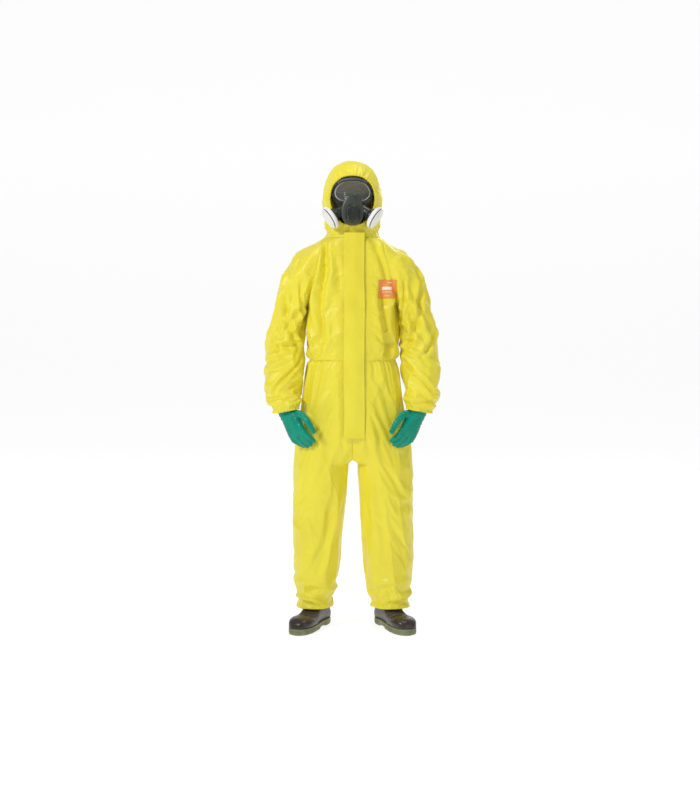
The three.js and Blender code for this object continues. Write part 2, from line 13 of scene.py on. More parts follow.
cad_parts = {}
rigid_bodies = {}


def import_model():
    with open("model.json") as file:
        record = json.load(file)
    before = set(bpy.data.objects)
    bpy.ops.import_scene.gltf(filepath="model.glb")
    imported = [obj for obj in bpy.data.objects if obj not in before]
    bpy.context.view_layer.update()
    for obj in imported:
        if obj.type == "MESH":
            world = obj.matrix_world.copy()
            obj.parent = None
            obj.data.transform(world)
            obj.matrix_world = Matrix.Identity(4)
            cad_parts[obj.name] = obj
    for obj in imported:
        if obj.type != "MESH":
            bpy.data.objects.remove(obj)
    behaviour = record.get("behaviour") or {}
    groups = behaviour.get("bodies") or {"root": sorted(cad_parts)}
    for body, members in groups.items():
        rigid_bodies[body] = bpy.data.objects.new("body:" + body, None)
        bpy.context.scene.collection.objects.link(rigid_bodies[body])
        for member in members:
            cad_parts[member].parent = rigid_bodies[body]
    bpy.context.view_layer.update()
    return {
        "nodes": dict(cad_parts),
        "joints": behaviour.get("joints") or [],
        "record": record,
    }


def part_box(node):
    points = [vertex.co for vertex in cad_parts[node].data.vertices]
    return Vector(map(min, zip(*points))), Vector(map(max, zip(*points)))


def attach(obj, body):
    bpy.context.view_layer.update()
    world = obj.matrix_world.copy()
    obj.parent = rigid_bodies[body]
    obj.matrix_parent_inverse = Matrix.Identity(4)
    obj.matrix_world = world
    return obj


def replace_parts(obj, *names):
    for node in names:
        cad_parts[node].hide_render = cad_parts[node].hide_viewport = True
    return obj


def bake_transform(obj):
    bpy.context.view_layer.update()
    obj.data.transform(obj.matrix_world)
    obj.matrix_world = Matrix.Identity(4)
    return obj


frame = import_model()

JOINTS = {joint["name"]: joint for joint in frame["joints"]}
NODES = frame["nodes"]
SIDES = {"left": 1.0, "right": -1.0}

# ---- Sizes, in metres -----------------------------------------------------------------------------
# Heights and widths below are measured from the suit's own mid plane, MIDDLE_Y in the frame.

ELBOW = Vector(JOINTS["elbow_left"]["pos_m"])
MIDDLE_Y = ELBOW.y - 0.015
NECK_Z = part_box("collar")[1][2]
WAIST_Z = (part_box("waist_elastic")[0][2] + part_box("waist_elastic")[1][2]) / 2
WAIST_SEAM_Z = 1.028  # torso above, trousers below
COLLAR_SEAM_Z = 1.497  # hood above, torso below
BEND_Z = 0.735  # the front is a straight slope above this height and turns inward below it
FRONT_AT_NECK = -0.112
FRONT_SLOPE = 0.024 / (NECK_Z - BEND_Z)
HEM_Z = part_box("ankle_hem_left")[0][2]
CUFF = Vector((0.250, MIDDLE_Y - 0.098, 0.846))
HAND_DOWN = Vector(JOINTS["glove_off_left"]["axis"])
FILTER_OUT = Vector(JOINTS["filter_twist_left"]["axis"])
FILTER_AT = Vector(JOINTS["filter_twist_left"]["pos_m"])
TOE_OUT = math.radians(22)
BOOT_AT = Vector((0.140, MIDDLE_Y + 0.005, 0.0))


# ---- Mesh helpers ---------------------------------------------------------------------------------

def add_mesh(name, points, faces, smooth=True):
    mesh = bpy.data.meshes.new(name)
    mesh.from_pydata([tuple(point) for point in points], [], faces)
    mesh.validate()
    if smooth:
        mesh.shade_smooth()
    piece = bpy.data.objects.new(name, mesh)
    bpy.context.scene.collection.objects.link(piece)
    return piece


def coords(piece):
    flat = np.empty(len(piece.data.vertices) * 3)
    piece.data.vertices.foreach_get("co", flat)
    return flat.reshape(-1, 3)


def set_coords(piece, points):
    piece.data.vertices.foreach_set("co", np.asarray(points, float).ravel())
    piece.data.update()


def normals(piece):
    flat = np.empty(len(piece.data.vertices) * 3)
    piece.data.vertex_normals.foreach_get("vector", flat)
    return flat.reshape(-1, 3)


def apply_modifiers(piece):
    depsgraph = bpy.context.evaluated_depsgraph_get()
    made = bpy.data.meshes.new_from_object(piece.evaluated_get(depsgraph))
    piece.modifiers.clear()
    old = piece.data
    piece.data = made
    made.name = old.name
    bpy.data.meshes.remove(old)
    return piece


def modify(piece, kind, **settings):
    """Adds one modifier with these settings and applies it."""
    modifier = piece.modifiers.new(kind.lower(), kind)
    for name, value in settings.items():
        setattr(modifier, name, value)
    return apply_modifiers(piece)


def subdivide(piece):
    return modify(piece, "SUBSURF", levels=1, render_levels=1)


@contextmanager
def edited(piece):
    """The piece's mesh as a bmesh, written back at the end of the block."""
    shape = bmesh.new()
    shape.from_mesh(piece.data)
    yield shape
    shape.to_mesh(piece.data)
    shape.free()


def cut(shape, point, normal, drop=False):
    """Cuts every face along a plane; drop removes what the normal points at."""
    geometry = shape.verts[:] + shape.edges[:] + shape.faces[:]
    bmesh.ops.bisect_plane(shape, geom=geometry, plane_co=point, plane_no=normal, clear_outer=drop)


def face_outward(piece):
    with edited(piece) as shape:
        bmesh.ops.recalc_face_normals(shape, faces=shape.faces)
    return piece


def smooth_rows(rows, steps):
    """Fills in a table of sections with a smooth curve through every row."""
    rows = [np.array(row, float) for row in rows]
    filled = []
    for i in range(len(rows) - 1):
        before, here = rows[max(i - 1, 0)], rows[i]
        there, after = rows[i + 1], rows[min(i + 2, len(rows) - 1)]
        for k in range(steps):
            t = k / steps
            square = (2 * before - 5 * here + 4 * there - after) * t**2
            cube = (3 * here - before - 3 * there + after) * t**3
            filled.append(0.5 * (2 * here + (there - before) * t + square + cube))
    filled.append(rows[-1])
    return filled


def even_rows(rows, step, column=0):
    """Like smooth_rows, with rows about one step apart in one column."""
    span = abs(rows[-1][column] - rows[0][column])
    fine = np.array(smooth_rows(rows, 24))
    place = np.concatenate([[0], np.cumsum(np.abs(np.diff(fine[:, column])))])
    wanted = np.linspace(0, place[-1], max(int(span / step), 4) + 1)
    return [np.array([np.interp(w, place, fine[:, c]) for c in range(fine.shape[1])]) for w in wanted]


def full_turn(count):
    return np.linspace(0, 2 * math.pi, count, endpoint=False)


def wrapped(angle):
    """The same angle between minus and plus half a turn."""
    return np.angle(np.exp(1j * angle))


def bend(value, power):
    return np.sign(value) * np.abs(value) ** (2 / power)


def oval(around, a, b, power=2.3):
    """Points of a superellipse from angle 0, as two arrays; power 2 is an ellipse."""
    angle = full_turn(around)
    return a * bend(np.cos(angle), power), b * bend(np.sin(angle), power)


def grid_faces(rings, around, closed=True):
    faces = []
    last = around if closed else around - 1
    for r in range(rings - 1):
        for i in range(last):
            j = (i + 1) % around
            faces.append((r * around + i, r * around + j, (r + 1) * around + j, (r + 1) * around + i))
    return faces


def closed_faces(rings, around, ends_flipped=False):
    """Faces of a closed tube with both ends filled."""
    first, last = list(range(around)), [(rings - 1) * around + k for k in range(around)]
    ends = [first[::-1], last] if ends_flipped else [first, last[::-1]]
    return grid_faces(rings, around) + [tuple(end) for end in ends]


def bump(value, centre, width):
    return np.exp(-((value - centre) / width) ** 2)


def ease(value, low, high):
    t = np.clip((value - low) / (high - low), 0, 1)
    return t * t * (3 - 2 * t)


def soft_noise(points, scale, seed):
    """Smooth noise from about -1 to 1 at each point; scale is (x, y, z) in metres."""
    shift = Vector((seed * 7.31, seed * 3.77, seed * 5.19))
    scale = Vector(scale)
    return np.array([noise.noise(Vector((x / scale.x, y / scale.y, z / scale.z)) + shift) for x, y, z in points])


def crease(values):
    """Turns smooth noise into soft valleys between sharper ridges."""
    return 1 - 2 * np.sqrt(np.abs(values))


def push_out(piece, amount):
    set_coords(piece, coords(piece) + normals(piece) * np.asarray(amount)[:, None])


# ---- Materials ------------------------------------------------------------------------------------

class Shader:
    """A small wrapper that adds nodes to one material."""

    def __init__(self, name, color, roughness):
        self.material = bpy.data.materials.new(name)
        self.material.use_nodes = True
        self.material.diffuse_color = (*color, 1)
        self.nodes = self.material.node_tree.nodes
        self.links = self.material.node_tree.links
        self.surface = self.nodes["Principled BSDF"]
        self.surface.inputs["Base Color"].default_value = (*color, 1)
        self.surface.inputs["Roughness"].default_value = roughness
        self.where = self.nodes.new("ShaderNodeTexCoord").outputs["Object"]
        self.height = None

    def noise(self, scale, detail=4.0, distortion=0.0):
        texture = self.nodes.new("ShaderNodeTexNoise")
        texture.inputs["Scale"].default_value = scale
        texture.inputs["Detail"].default_value = detail
        texture.inputs["Distortion"].default_value = distortion
        self.links.new(self.where, texture.inputs["Vector"])
        return texture.outputs["Fac"]

    def cells(self, scale):
        texture = self.nodes.new("ShaderNodeTexVoronoi")
        texture.inputs["Scale"].default_value = scale
        self.links.new(self.where, texture.inputs["Vector"])
        return texture.outputs["Distance"]

    def wave(self, scale, direction):
        texture = self.nodes.new("ShaderNodeTexWave")
        texture.bands_direction = direction
        texture.inputs["Scale"].default_value = scale
        self.links.new(self.where, texture.inputs["Vector"])
        return texture.outputs["Fac"]

    def color_between(self, source, first, second, low=0.3, high=0.7):
        ramp = self.nodes.new("ShaderNodeValToRGB")
        for element, place, color in zip(ramp.color_ramp.elements, (low, high), (first, second)):
            element.position = place
            element.color = (*color, 1)
        self.links.new(source, ramp.inputs["Fac"])
        self.links.new(ramp.outputs["Color"], self.surface.inputs["Base Color"])

    def roughness_between(self, source, low, high):
        spread = self.nodes.new("ShaderNodeMapRange")
        spread.inputs["From Min"].default_value = 0.3
        spread.inputs["From Max"].default_value = 0.7
        spread.inputs["To Min"].default_value = low
        spread.inputs["To Max"].default_value = high
        self.links.new(source, spread.inputs["Value"])
        self.links.new(spread.outputs["Result"], self.surface.inputs["Roughness"])

    def bump(self, source, distance, strength=1.0):
        step = self.nodes.new("ShaderNodeBump")
        step.inputs["Distance"].default_value = distance
        step.inputs["Strength"].default_value = strength
        self.links.new(source, step.inputs["Height"])
        if self.height is not None:
            self.links.new(self.height, step.inputs["Normal"])
        self.height = step.outputs["Normal"]
        self.links.new(self.height, self.surface.inputs["Normal"])

    def set(self, **values):
        for name, value in values.items():
            self.surface.inputs[name.replace("_", " ")].default_value = value
        return self


def fabric_material(name, color, dark):
    shade = Shader(name, color, 0.42)
    tone = shade.noise(6.0, 5.0)
    shade.color_between(tone, dark, color, 0.25, 0.6)
    shade.roughness_between(shade.noise(40.0, 3.0), 0.36, 0.5)
    shade.bump(shade.noise(22.0, 6.0, distortion=1.2), 0.0035, 0.5)
    shade.bump(shade.cells(900.0), 0.0003, 0.35)
    shade.set(Sheen_Weight=0.15, Sheen_Roughness=0.4, Subsurface_Weight=0.0)
    return name, shade.material


def plain_material(name, color, roughness, tones=None, gloss=None, grain=(), **settings):
    """Tones is (noise scale, detail, dark, light); gloss is (noise scale, low, high) of the roughness.

    Each grain is (pattern, scale, detail or direction, depth, strength).
    """
    shade = Shader(name, color, roughness).set(**settings)
    if tones:
        scale, detail, dark, light = tones
        shade.color_between(shade.noise(scale, detail), dark, light)
    if gloss:
        scale, low, high = gloss
        shade.roughness_between(shade.noise(scale), low, high)
    for pattern, scale, detail, depth, strength in grain:
        source = shade.cells(scale) if pattern == "cells" else getattr(shade, pattern)(scale, detail)
        shade.bump(source, depth, strength)
    return name, shade.material


def make_materials():
    yellow, shaded = (0.86, 0.76, 0.045), (0.80, 0.68, 0.03)
    # The gathered elastic edges use a darker copy of the suit fabric: painted shade of their gathers.
    edge, edge_shaded = (0.84, 0.73, 0.045), (0.74, 0.62, 0.03)
    weave = [("wave", 420.0, "Z", 0.0003, 0.8), ("wave", 420.0, "X", 0.0003, 0.8)]
    paper = [("cells", 1200.0, None, 0.0002, 0.4)]
    made = [
        fabric_material("suit_fabric", yellow, shaded),
        fabric_material("gathered_edge", edge, edge_shaded),
        plain_material("woven_tape", (0.82, 0.76, 0.38), 0.7, grain=weave),
        plain_material("label", (0.86, 0.30, 0.045), 0.45, grain=paper,
                       tones=(60.0, 3.0, (0.80, 0.27, 0.04), (0.88, 0.33, 0.06))),
        plain_material("label_print", (0.85, 0.80, 0.70), 0.5, grain=paper),
        plain_material("zip_plastic", (0.80, 0.70, 0.08), 0.35, grain=[("wave", 300.0, "Z", 0.0008, 1.0)]),
        plain_material("mask_rubber", (0.022, 0.021, 0.022), 0.5, grain=[("noise", 700.0, 2.0, 0.0003, 0.5)],
                       tones=(30.0, 4.0, (0.018, 0.017, 0.018), (0.035, 0.032, 0.034))),
        plain_material("grey_plastic", (0.045, 0.050, 0.040), 0.36, grain=[("noise", 700.0, 2.0, 0.0003, 0.5)],
                       tones=(25.0, 4.0, (0.035, 0.040, 0.031), (0.060, 0.066, 0.052))),
        plain_material("black_plastic", (0.016, 0.018, 0.014), 0.34, grain=[("noise", 900.0, 2.0, 0.0002, 0.5)],
                       tones=(25.0, 4.0, (0.012, 0.014, 0.010), (0.024, 0.027, 0.021))),
        plain_material("grey_rubber", (0.075, 0.085, 0.075), 0.42, grain=[("noise", 600.0, 2.0, 0.0003, 0.5)],
                       tones=(30.0, 4.0, (0.055, 0.063, 0.055), (0.10, 0.11, 0.10))),
        plain_material("visor", (0.55, 0.58, 0.58), 0.05, Alpha=0.08, Coat_Weight=0.3, Coat_Roughness=0.05),
        # Pale mottled colour for the thin cord inside the lens frame: painted highlight standing in for the reflections
        # on the lens.
        plain_material("lens_painted_highlight", (0.50, 0.48, 0.53), 0.25,
                       tones=(18.0, 4.0, (0.30, 0.28, 0.32), (0.62, 0.60, 0.66))),
        plain_material("filter_white", (0.86, 0.86, 0.84), 0.55, grain=[("noise", 900.0, 2.0, 0.0003, 0.5)],
                       tones=(35.0, 4.0, (0.80, 0.80, 0.78), (0.88, 0.88, 0.87))),
        plain_material("glove_rubber", (0.0, 0.30, 0.195), 0.2, Specular_IOR_Level=0.25, gloss=(60.0, 0.13, 0.24),
                       tones=(28.0, 5.0, (0.0, 0.24, 0.155), (0.0, 0.33, 0.215)),
                       grain=[("noise", 140.0, 4.0, 0.0012, 0.45), ("cells", 650.0, None, 0.0006, 0.5)]),
        plain_material("boot_rubber", (0.035, 0.024, 0.022), 0.25, gloss=(45.0, 0.18, 0.4),
                       tones=(20.0, 5.0, (0.025, 0.017, 0.016), (0.055, 0.04, 0.036)),
                       grain=[("noise", 90.0, 3.0, 0.0008, 0.35)]),
        plain_material("boot_instep", (0.10, 0.085, 0.075), 0.42, grain=[("noise", 160.0, 3.0, 0.0008, 0.5)],
                       tones=(24.0, 5.0, (0.07, 0.058, 0.05), (0.13, 0.11, 0.10))),
        plain_material("sole_rubber", (0.22, 0.24, 0.12), 0.6, grain=[("noise", 300.0, 3.0, 0.0006, 0.6)],
                       tones=(30.0, 5.0, (0.15, 0.165, 0.08), (0.25, 0.27, 0.14))),
    ]
    return dict(made)


MATERIALS = make_materials()


def dress(piece, slot, material=None, *, nodes=(), body=None):
    piece.data.materials.clear()
    piece.data.materials.append(MATERIALS[material or slot])
    if nodes:
        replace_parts(piece, *nodes)
    if body:
        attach(piece, body)
    return piece


# ---- Camera, light and floor ----------------------------------------------------------------------

KEY_POWER = 85
FILL_SHARE = 0.16
RIM_SHARE = 0.35
WORLD_LIGHT = 0.30
SWEEP_GLOW = 0.80
SWEEP_BACK = 9.0
SWEEP_RADIUS = 3.0
SWEEP_HALF_WIDTH = 14.0
CAMERA_AWAY = 5.3
CAMERA_HEIGHT = 1.10
SEEN_HIGH = 3.096  # how much of the suit's mid plane the picture is high
SENSOR = 36  # millimetres
SHIFT_X = -0.003125  # the suit stands a little right of the middle
SHIFT_Y = -0.0727972


def make_camera():
    data = bpy.data.cameras.new("camera")
    camera = bpy.data.objects.new("camera", data)
    bpy.context.scene.collection.objects.link(camera)
    camera.location = (0, MIDDLE_Y - CAMERA_AWAY, CAMERA_HEIGHT)
    camera.rotation_euler = (math.radians(90), 0, 0)
    data.sensor_fit = "VERTICAL"
    data.sensor_height = SENSOR
    data.lens = SENSOR * CAMERA_AWAY / SEEN_HIGH
    data.shift_x, data.shift_y = SHIFT_X, SHIFT_Y
    bpy.context.scene.camera = camera


def add_light(name, place, aim, size, power):
    data = bpy.data.lights.new(name, "AREA")
    data.shape = "DISK"
    data.size = size
    data.energy = power
    lamp = bpy.data.objects.new(name, data)
    lamp.location = place
    lamp.rotation_euler = (Vector(aim) - Vector(place)).to_track_quat("-Z", "Y").to_euler()
    bpy.context.scene.collection.objects.link(lamp)


def make_stage():
    """A white sweep: flat floor curving up into a wall, both bright enough to read as plain white."""
    curve = [(SWEEP_BACK + SWEEP_RADIUS * (math.sin(t) - 1), SWEEP_RADIUS * (1 - math.cos(t)))
             for t in np.linspace(0, math.pi / 2, 12)]
    profile = [(-SWEEP_BACK, 0.0), *curve, (SWEEP_BACK, SWEEP_BACK)]
    points = [(x, y, z) for y, z in profile for x in (-SWEEP_HALF_WIDTH, SWEEP_HALF_WIDTH)]
    sweep = add_mesh("sweep", points, grid_faces(len(profile), 2, closed=False))
    shade = Shader("sweep", (0.30, 0.30, 0.30), 0.8)
    shade.set(Emission_Color=(1, 1, 1, 1), Emission_Strength=SWEEP_GLOW)
    sweep.data.materials.append(shade.material)
    add_light("key", (-2.4, -2.9, 3.3), (0, 0, 1.0), 1.0, KEY_POWER)
    add_light("fill", (2.8, -3.2, 1.8), (0, 0, 0.9), 2.6, KEY_POWER * FILL_SHARE)
    add_light("top", (0.6, -0.2, 4.2), (0, 0, 1.0), 1.6, KEY_POWER * RIM_SHARE)
    add_light("back", (1.5, 3.5, 2.8), (0, 0, 1.0), 2.5, KEY_POWER * RIM_SHARE)
    world = bpy.data.worlds.new("studio")
    world.use_nodes = True
    nodes, links = world.node_tree.nodes, world.node_tree.links
    light = nodes["Background"]
    light.inputs["Color"].default_value = (1, 1, 1, 1)
    light.inputs["Strength"].default_value = WORLD_LIGHT
    seen = nodes.new("ShaderNodeBackground")
    seen.inputs["Color"].default_value = (1, 1, 1, 1)
    seen.inputs["Strength"].default_value = 1.0
    path = nodes.new("ShaderNodeLightPath")
    mix = nodes.new("ShaderNodeMixShader")
    links.new(path.outputs["Is Camera Ray"], mix.inputs["Fac"])
    links.new(light.outputs["Background"], mix.inputs[1])
    links.new(seen.outputs["Background"], mix.inputs[2])
    links.new(mix.outputs["Shader"], nodes["World Output"].inputs["Surface"])
    bpy.context.scene.world = world
    bpy.context.scene.view_settings.view_transform = "Standard"


# ---- Cloth ----------------------------------------------------------------------------------------

SIM_FRAMES = 16
MOST_MOVED = 0.011
CLOTH_STIFFNESS = 12.0
CLOTH_BENDING = 1.2
CLOTH_THICKNESS = 0.0009
CLOTH_STEP = 0.0062  # between rows of points


def settle(piece, hold, growth=-0.03, hold_soft=0.10, gravity=0.12):
    """Lets the cloth buckle: hold is 1 where it is sewn fast and 0 where it is free."""
    start = coords(piece)
    group = piece.vertex_groups.new(name="held")
    levels = np.clip(np.round((hold_soft + (1 - hold_soft) * hold) * 20) / 20, 0, 1)
    for level in np.unique(levels):
        group.add([int(i) for i in np.nonzero(levels == level)[0]], float(level), "REPLACE")
    cloth = piece.modifiers.new("cloth", "CLOTH")
    cloth.settings.quality = 4
    cloth.settings.mass = 0.25
    cloth.settings.tension_stiffness = CLOTH_STIFFNESS
    cloth.settings.compression_stiffness = CLOTH_STIFFNESS
    cloth.settings.shear_stiffness = CLOTH_STIFFNESS / 3
    cloth.settings.bending_stiffness = CLOTH_BENDING
    cloth.settings.vertex_group_mass = "held"
    cloth.settings.pin_stiffness = 1.0
    cloth.settings.shrink_min = growth
    cloth.settings.effector_weights.gravity = gravity
    cloth.collision_settings.use_collision = False
    cloth.point_cache.frame_start = 1
    cloth.point_cache.frame_end = SIM_FRAMES
    scene = bpy.context.scene
    for step in range(1, SIM_FRAMES + 1):
        scene.frame_set(step)
    apply_modifiers(piece)
    scene.frame_set(1)
    piece.vertex_groups.clear()
    moved = coords(piece) - start
    set_coords(piece, start)
    outward = normals(piece)
    free = 1 - np.clip(hold, 0, 1)
    out = (moved * outward).sum(axis=1)
    drift = (out * free).sum() / max(free.sum(), 1)  # keeps the folds but not the overall shrinking
    moved -= outward * (drift * free)[:, None]
    moved[:, 2] *= 0.5
    length = np.maximum(np.linalg.norm(moved, axis=1), 1e-9)
    capped = moved * (np.minimum(length, MOST_MOVED) / length)[:, None]
    set_coords(piece, start + capped)
    return piece


def keep_faces(piece, name, test):
    """A copy with only the faces whose centre passes the test, shaded as if it were still whole."""
    mesh = piece.data
    place = coords(piece)
    rounded = normals(piece)
    faces = [face.vertices[:] for face in mesh.polygons if test(face.center)]
    used = sorted({point for face in faces for point in face})
    row = {point: i for i, point in enumerate(used)}
    part = add_mesh(name, place[used], [tuple(row[point] for point in face) for face in faces])
    part.data.normals_split_custom_set_from_vertices([tuple(normal) for normal in rounded[used]])
    return part


def thicken(piece):
    """Gives a surface an inner side."""
    return modify(piece, "SOLIDIFY", thickness=CLOTH_THICKNESS, offset=-1)


# ---- Torso ----------------------------------------------------------------------------------------

TORSO_FOLDS = [  # x at the top, low end, high end, depth, drift in x per metre down
    (0.116, 1.045, 1.300, 0.021, 0.07), (-0.106, 1.050, 1.480, 0.021, -0.05), (0.154, 1.060, 1.220, 0.011, -0.05),
    (-0.150, 1.050, 1.210, 0.012, 0.06), (0.082, 1.330, 1.485, 0.012, 0.30), (-0.062, 1.280, 1.400, 0.006, 0.10),
]
TORSO = [  # height, half width, back, power
    (1.028, 0.161, 0.110, 2.3), (1.045, 0.168, 0.114, 2.3), (1.075, 0.174, 0.119, 2.3), (1.130, 0.174, 0.122, 2.3),
    (1.200, 0.172, 0.126, 2.3), (1.240, 0.172, 0.128, 2.3), (1.270, 0.186, 0.128, 2.3), (1.340, 0.205, 0.127, 2.3),
    (1.420, 0.216, 0.122, 2.3), (1.456, 0.206, 0.113, 2.3), (1.474, 0.178, 0.106, 2.25), (1.486, 0.146, 0.099, 2.2),
    (1.4975, 0.113, 0.090, 2.1),
]
SEAM_LOW = (0.1715, 1.240)  # raglan seam, from the armpit
SEAM_HIGH = (0.1120, COLLAR_SEAM_Z)  # to the collar


def front_line(z):
    bent = FRONT_AT_NECK - (NECK_Z - BEND_Z) * FRONT_SLOPE + (BEND_Z - z) * 0.25
    return np.where(z >= BEND_Z, FRONT_AT_NECK - (NECK_Z - z) * FRONT_SLOPE, bent)


TORSO_FINE = np.array(even_rows(TORSO, 0.003))


def torso_at(z):
    """Half width, front, back and power of the torso at a height."""
    width, back, power = (np.interp(z, TORSO_FINE[:, 0], TORSO_FINE[:, c]) for c in (1, 2, 3))
    return width, front_line(z), back, power


def torso_folds(points, seed):
    x, y, z = points[:, 0], points[:, 1] - MIDDLE_Y, points[:, 2]
    angle = np.arctan2(y, x)
    front = ease(-y, 0.02, 0.09)
    away = 1 - bump(x, 0.005, 0.055) * front  # flat behind the storm flap
    near_waist = np.exp(-np.maximum(z - WAIST_Z, 0) / 0.055)
    gathers = np.sin(angle * 34 + 2.5 * np.sin(angle * 5)) * near_waist * 0.0045
    gathers += np.sin(angle * 15 + 1.3) * np.exp(-np.maximum(z - WAIST_Z, 0) / 0.11) * 0.005
    middle = bump(x, 0.005, 0.15) * front
    total = gathers * away * (1 - 0.9 * middle)
    drape = crease(soft_noise(points, (0.10, 0.10, 0.26), seed)) * 0.0065
    fine = crease(soft_noise(points, (0.045, 0.05, 0.09), seed + 3)) * 0.0025
    low_neck = 1 - ease(z, 1.44, 1.49)
    total += (drape + fine) * away * low_neck * (1 - 0.8 * middle * (1 - ease(z, WAIST_Z, WAIST_Z + 0.09)))
    for centre, low, high, depth, lean in TORSO_FOLDS:
        drift = centre + lean * (high - z) + 0.006 * np.sin((z - low) * 24)
        along = ease(z, low - 0.04, low + 0.05) * (1 - ease(z, high - 0.05, high + 0.05)) * front
        out = np.sign(centre)
        total -= depth * bump(x, drift, 0.013) * along
        total += depth * 0.8 * bump(x, drift + out * 0.027, 0.017) * along
        total += depth * 0.35 * bump(x, drift - out * 0.024, 0.015) * along
    sag = np.sin((z - 1.06) * 58 + 3.0 * np.cos(angle * 2)) * bump(z, 1.085, 0.04) * 0.003
    return total + sag * away * (1 - middle)


def slope_shoulder(piece):
    """Lets the cloth fall away from the collar before it rounds the shoulder."""
    place = coords(piece)
    out = np.abs(place[:, 0])
    drop = 0.016 * ease(out, 0.113, 0.145) * (1 - ease(out, 0.165, 0.225)) * ease(place[:, 2], 1.40, 1.47)
    place[:, 2] -= drop
    set_coords(piece, place)


def make_torso():
    around = 220
    rows = even_rows(TORSO, CLOTH_STEP)
    points = []
    for z, width, back, power in rows:
        front = float(front_line(z))
        x, y = oval(around, width, (back - front) / 2, power)
        points += list(zip(x, y + (back + front) / 2 + MIDDLE_Y, np.full(around, z)))
    torso = add_mesh("torso", points, grid_faces(len(rows), around))
    with edited(torso) as shape:
        across = Vector((SEAM_HIGH[0] - SEAM_LOW[0], 0, SEAM_HIGH[1] - SEAM_LOW[1])).normalized()
        for side in SIDES.values():
            normal = Vector((across.z * side, 0, -across.x))
            start = Vector((SEAM_LOW[0] * side, 0, SEAM_LOW[1]))
            cut(shape, start, normal)
            beyond = [face for face in shape.faces
                      if (face.calc_center_median() - start).dot(normal) > 1e-5
                      and SEAM_LOW[1] < face.calc_center_median().z < SEAM_HIGH[1]]
            bmesh.ops.delete(shape, geom=beyond, context="FACES")
        bmesh.ops.remove_doubles(shape, verts=shape.verts, dist=0.0002)
    slope_shoulder(torso)
    place = coords(torso)
    seam = edge_distance(torso)
    hold = 1 - ease(seam, 0.0, 0.02)
    flap_zone = bump(place[:, 0], 0.005, 0.05) * ease(-(place[:, 1] - MIDDLE_Y), 0.02, 0.09)
    hold = np.maximum(hold, np.minimum(flap_zone * 1.2, 1))
    push_out(torso, torso_folds(place, 11) * ease(seam, 0.0, 0.02))
    settle(torso, hold)
    subdivide(torso)
    side_y = MIDDLE_Y - 0.004
    pieces = {
        "chest_front_left": (("front_panel_left",), lambda c: c.y < side_y and c.x > 0.004),
        "chest_front_right": (("front_panel_right",), lambda c: c.y < side_y and c.x <= 0.004),
        "chest_back": (("back_panel",), lambda c: c.y >= side_y),
    }
    thicken(torso)
    for name, (replaced, test) in pieces.items():
        dress(keep_faces(torso, name, test), "suit_fabric", nodes=replaced, body="suit")
    bpy.data.objects.remove(torso)


FAR_FROM_EDGE = 0.05


def edge_distance(piece):
    """How far each point is from the nearest open edge, up to FAR_FROM_EDGE."""
    shape = bmesh.new()
    shape.from_mesh(piece.data)
    rim = np.array([vert.co for vert in shape.verts if vert.is_boundary])
    shape.free()
    tree = KDTree(len(rim))
    for i, point in enumerate(rim):
        tree.insert(point, i)
    tree.balance()
    return np.array([min(tree.find(point)[2], FAR_FROM_EDGE) for point in coords(piece)])


# ---- Sleeves --------------------------------------------------------------------------------------

SLEEVE = [  # inner x and z, outer x and z, middle y, half depth; for the wearer's left
    (0.1715, 1.240, 0.1120, 1.497, 0.002, 0.106), (0.1745, 1.237, 0.150, 1.487, 0.002, 0.103),
    (0.1760, 1.233, 0.190, 1.467, 0.002, 0.098), (0.178, 1.224, 0.232, 1.425, 0.003, 0.090),
    (0.180, 1.208, 0.268, 1.356, 0.004, 0.083), (0.182, 1.182, 0.290, 1.280, 0.007, 0.078),
    (0.185, 1.150, 0.312, 1.200, 0.011, 0.075), (0.188, 1.115, 0.328, 1.130, 0.014, 0.073),
    (0.193, 1.075, 0.336, 1.075, 0.013, 0.071), (0.190, 1.035, 0.338, 1.030, -0.002, 0.069),
    (0.196, 0.985, 0.337, 0.975, -0.031, 0.066), (0.202, 0.930, 0.331, 0.918, -0.060, 0.062),
    (0.200, 0.894, 0.322, 0.878, -0.079, 0.059), (0.200, 0.873, 0.313, 0.855, -0.091, 0.053),
    (0.205, 0.855, 0.300, 0.838, -0.097, 0.046), (0.203, 0.842, 0.301, 0.825, -0.101, 0.046),
]
SLEEVE_FOLDS = [  # angle where each starts and ends, distance down the sleeve where it starts and ends, depth
    (-0.45, -2.30, 0.09, 0.33, 0.013), (-1.45, -2.85, 0.05, 0.22, 0.010), (-0.25, -1.50, 0.24, 0.36, 0.010),
    (-2.75, -0.90, 0.36, 0.52, 0.009),
]
SLEEVE_AROUND = 110
SLEEVE_SPLIT_Z = 1.137


def spaced(rows, step):
    fine = np.array(smooth_rows(rows, 24))
    middle = np.column_stack([(fine[:, 0] + fine[:, 2]) / 2, (fine[:, 1] + fine[:, 3]) / 2, fine[:, 4]])
    place = np.concatenate([[0], np.cumsum(np.linalg.norm(np.diff(middle, axis=0), axis=1))])
    wanted = np.linspace(0, place[-1], int(place[-1] / step) + 1)
    return wanted, [np.array([np.interp(w, place, fine[:, c]) for c in range(fine.shape[1])]) for w in wanted]


def sleeve_ring(row, around):
    low = np.array([row[0], row[1]])
    high = np.array([row[2], row[3]])
    half = np.linalg.norm(high - low) / 2
    along, across = oval(around, 1.0, 1.0, 2.2)
    direction = (high - low) / (2 * half)
    x = (low[0] + high[0]) / 2 + along * half * direction[0]
    z = (low[1] + high[1]) / 2 + along * half * direction[1]
    return np.column_stack([x, row[4] + across * row[5], z])


def seam_ring(around):
    """The raglan seam: where the slanted seam plane meets the torso's skin."""
    ring = sleeve_ring(SLEEVE[0], around)
    angle = full_turn(around)
    for i, (x, _, z) in enumerate(ring):
        width, front, back, power = torso_at(z)
        depth = max(1 - (min(x / width, 1.0)) ** power, 0.0) ** (1 / power) * (back - front) / 2
        ring[i, 1] = (front + back) / 2 + depth * np.sign(math.sin(angle[i]))
    return ring


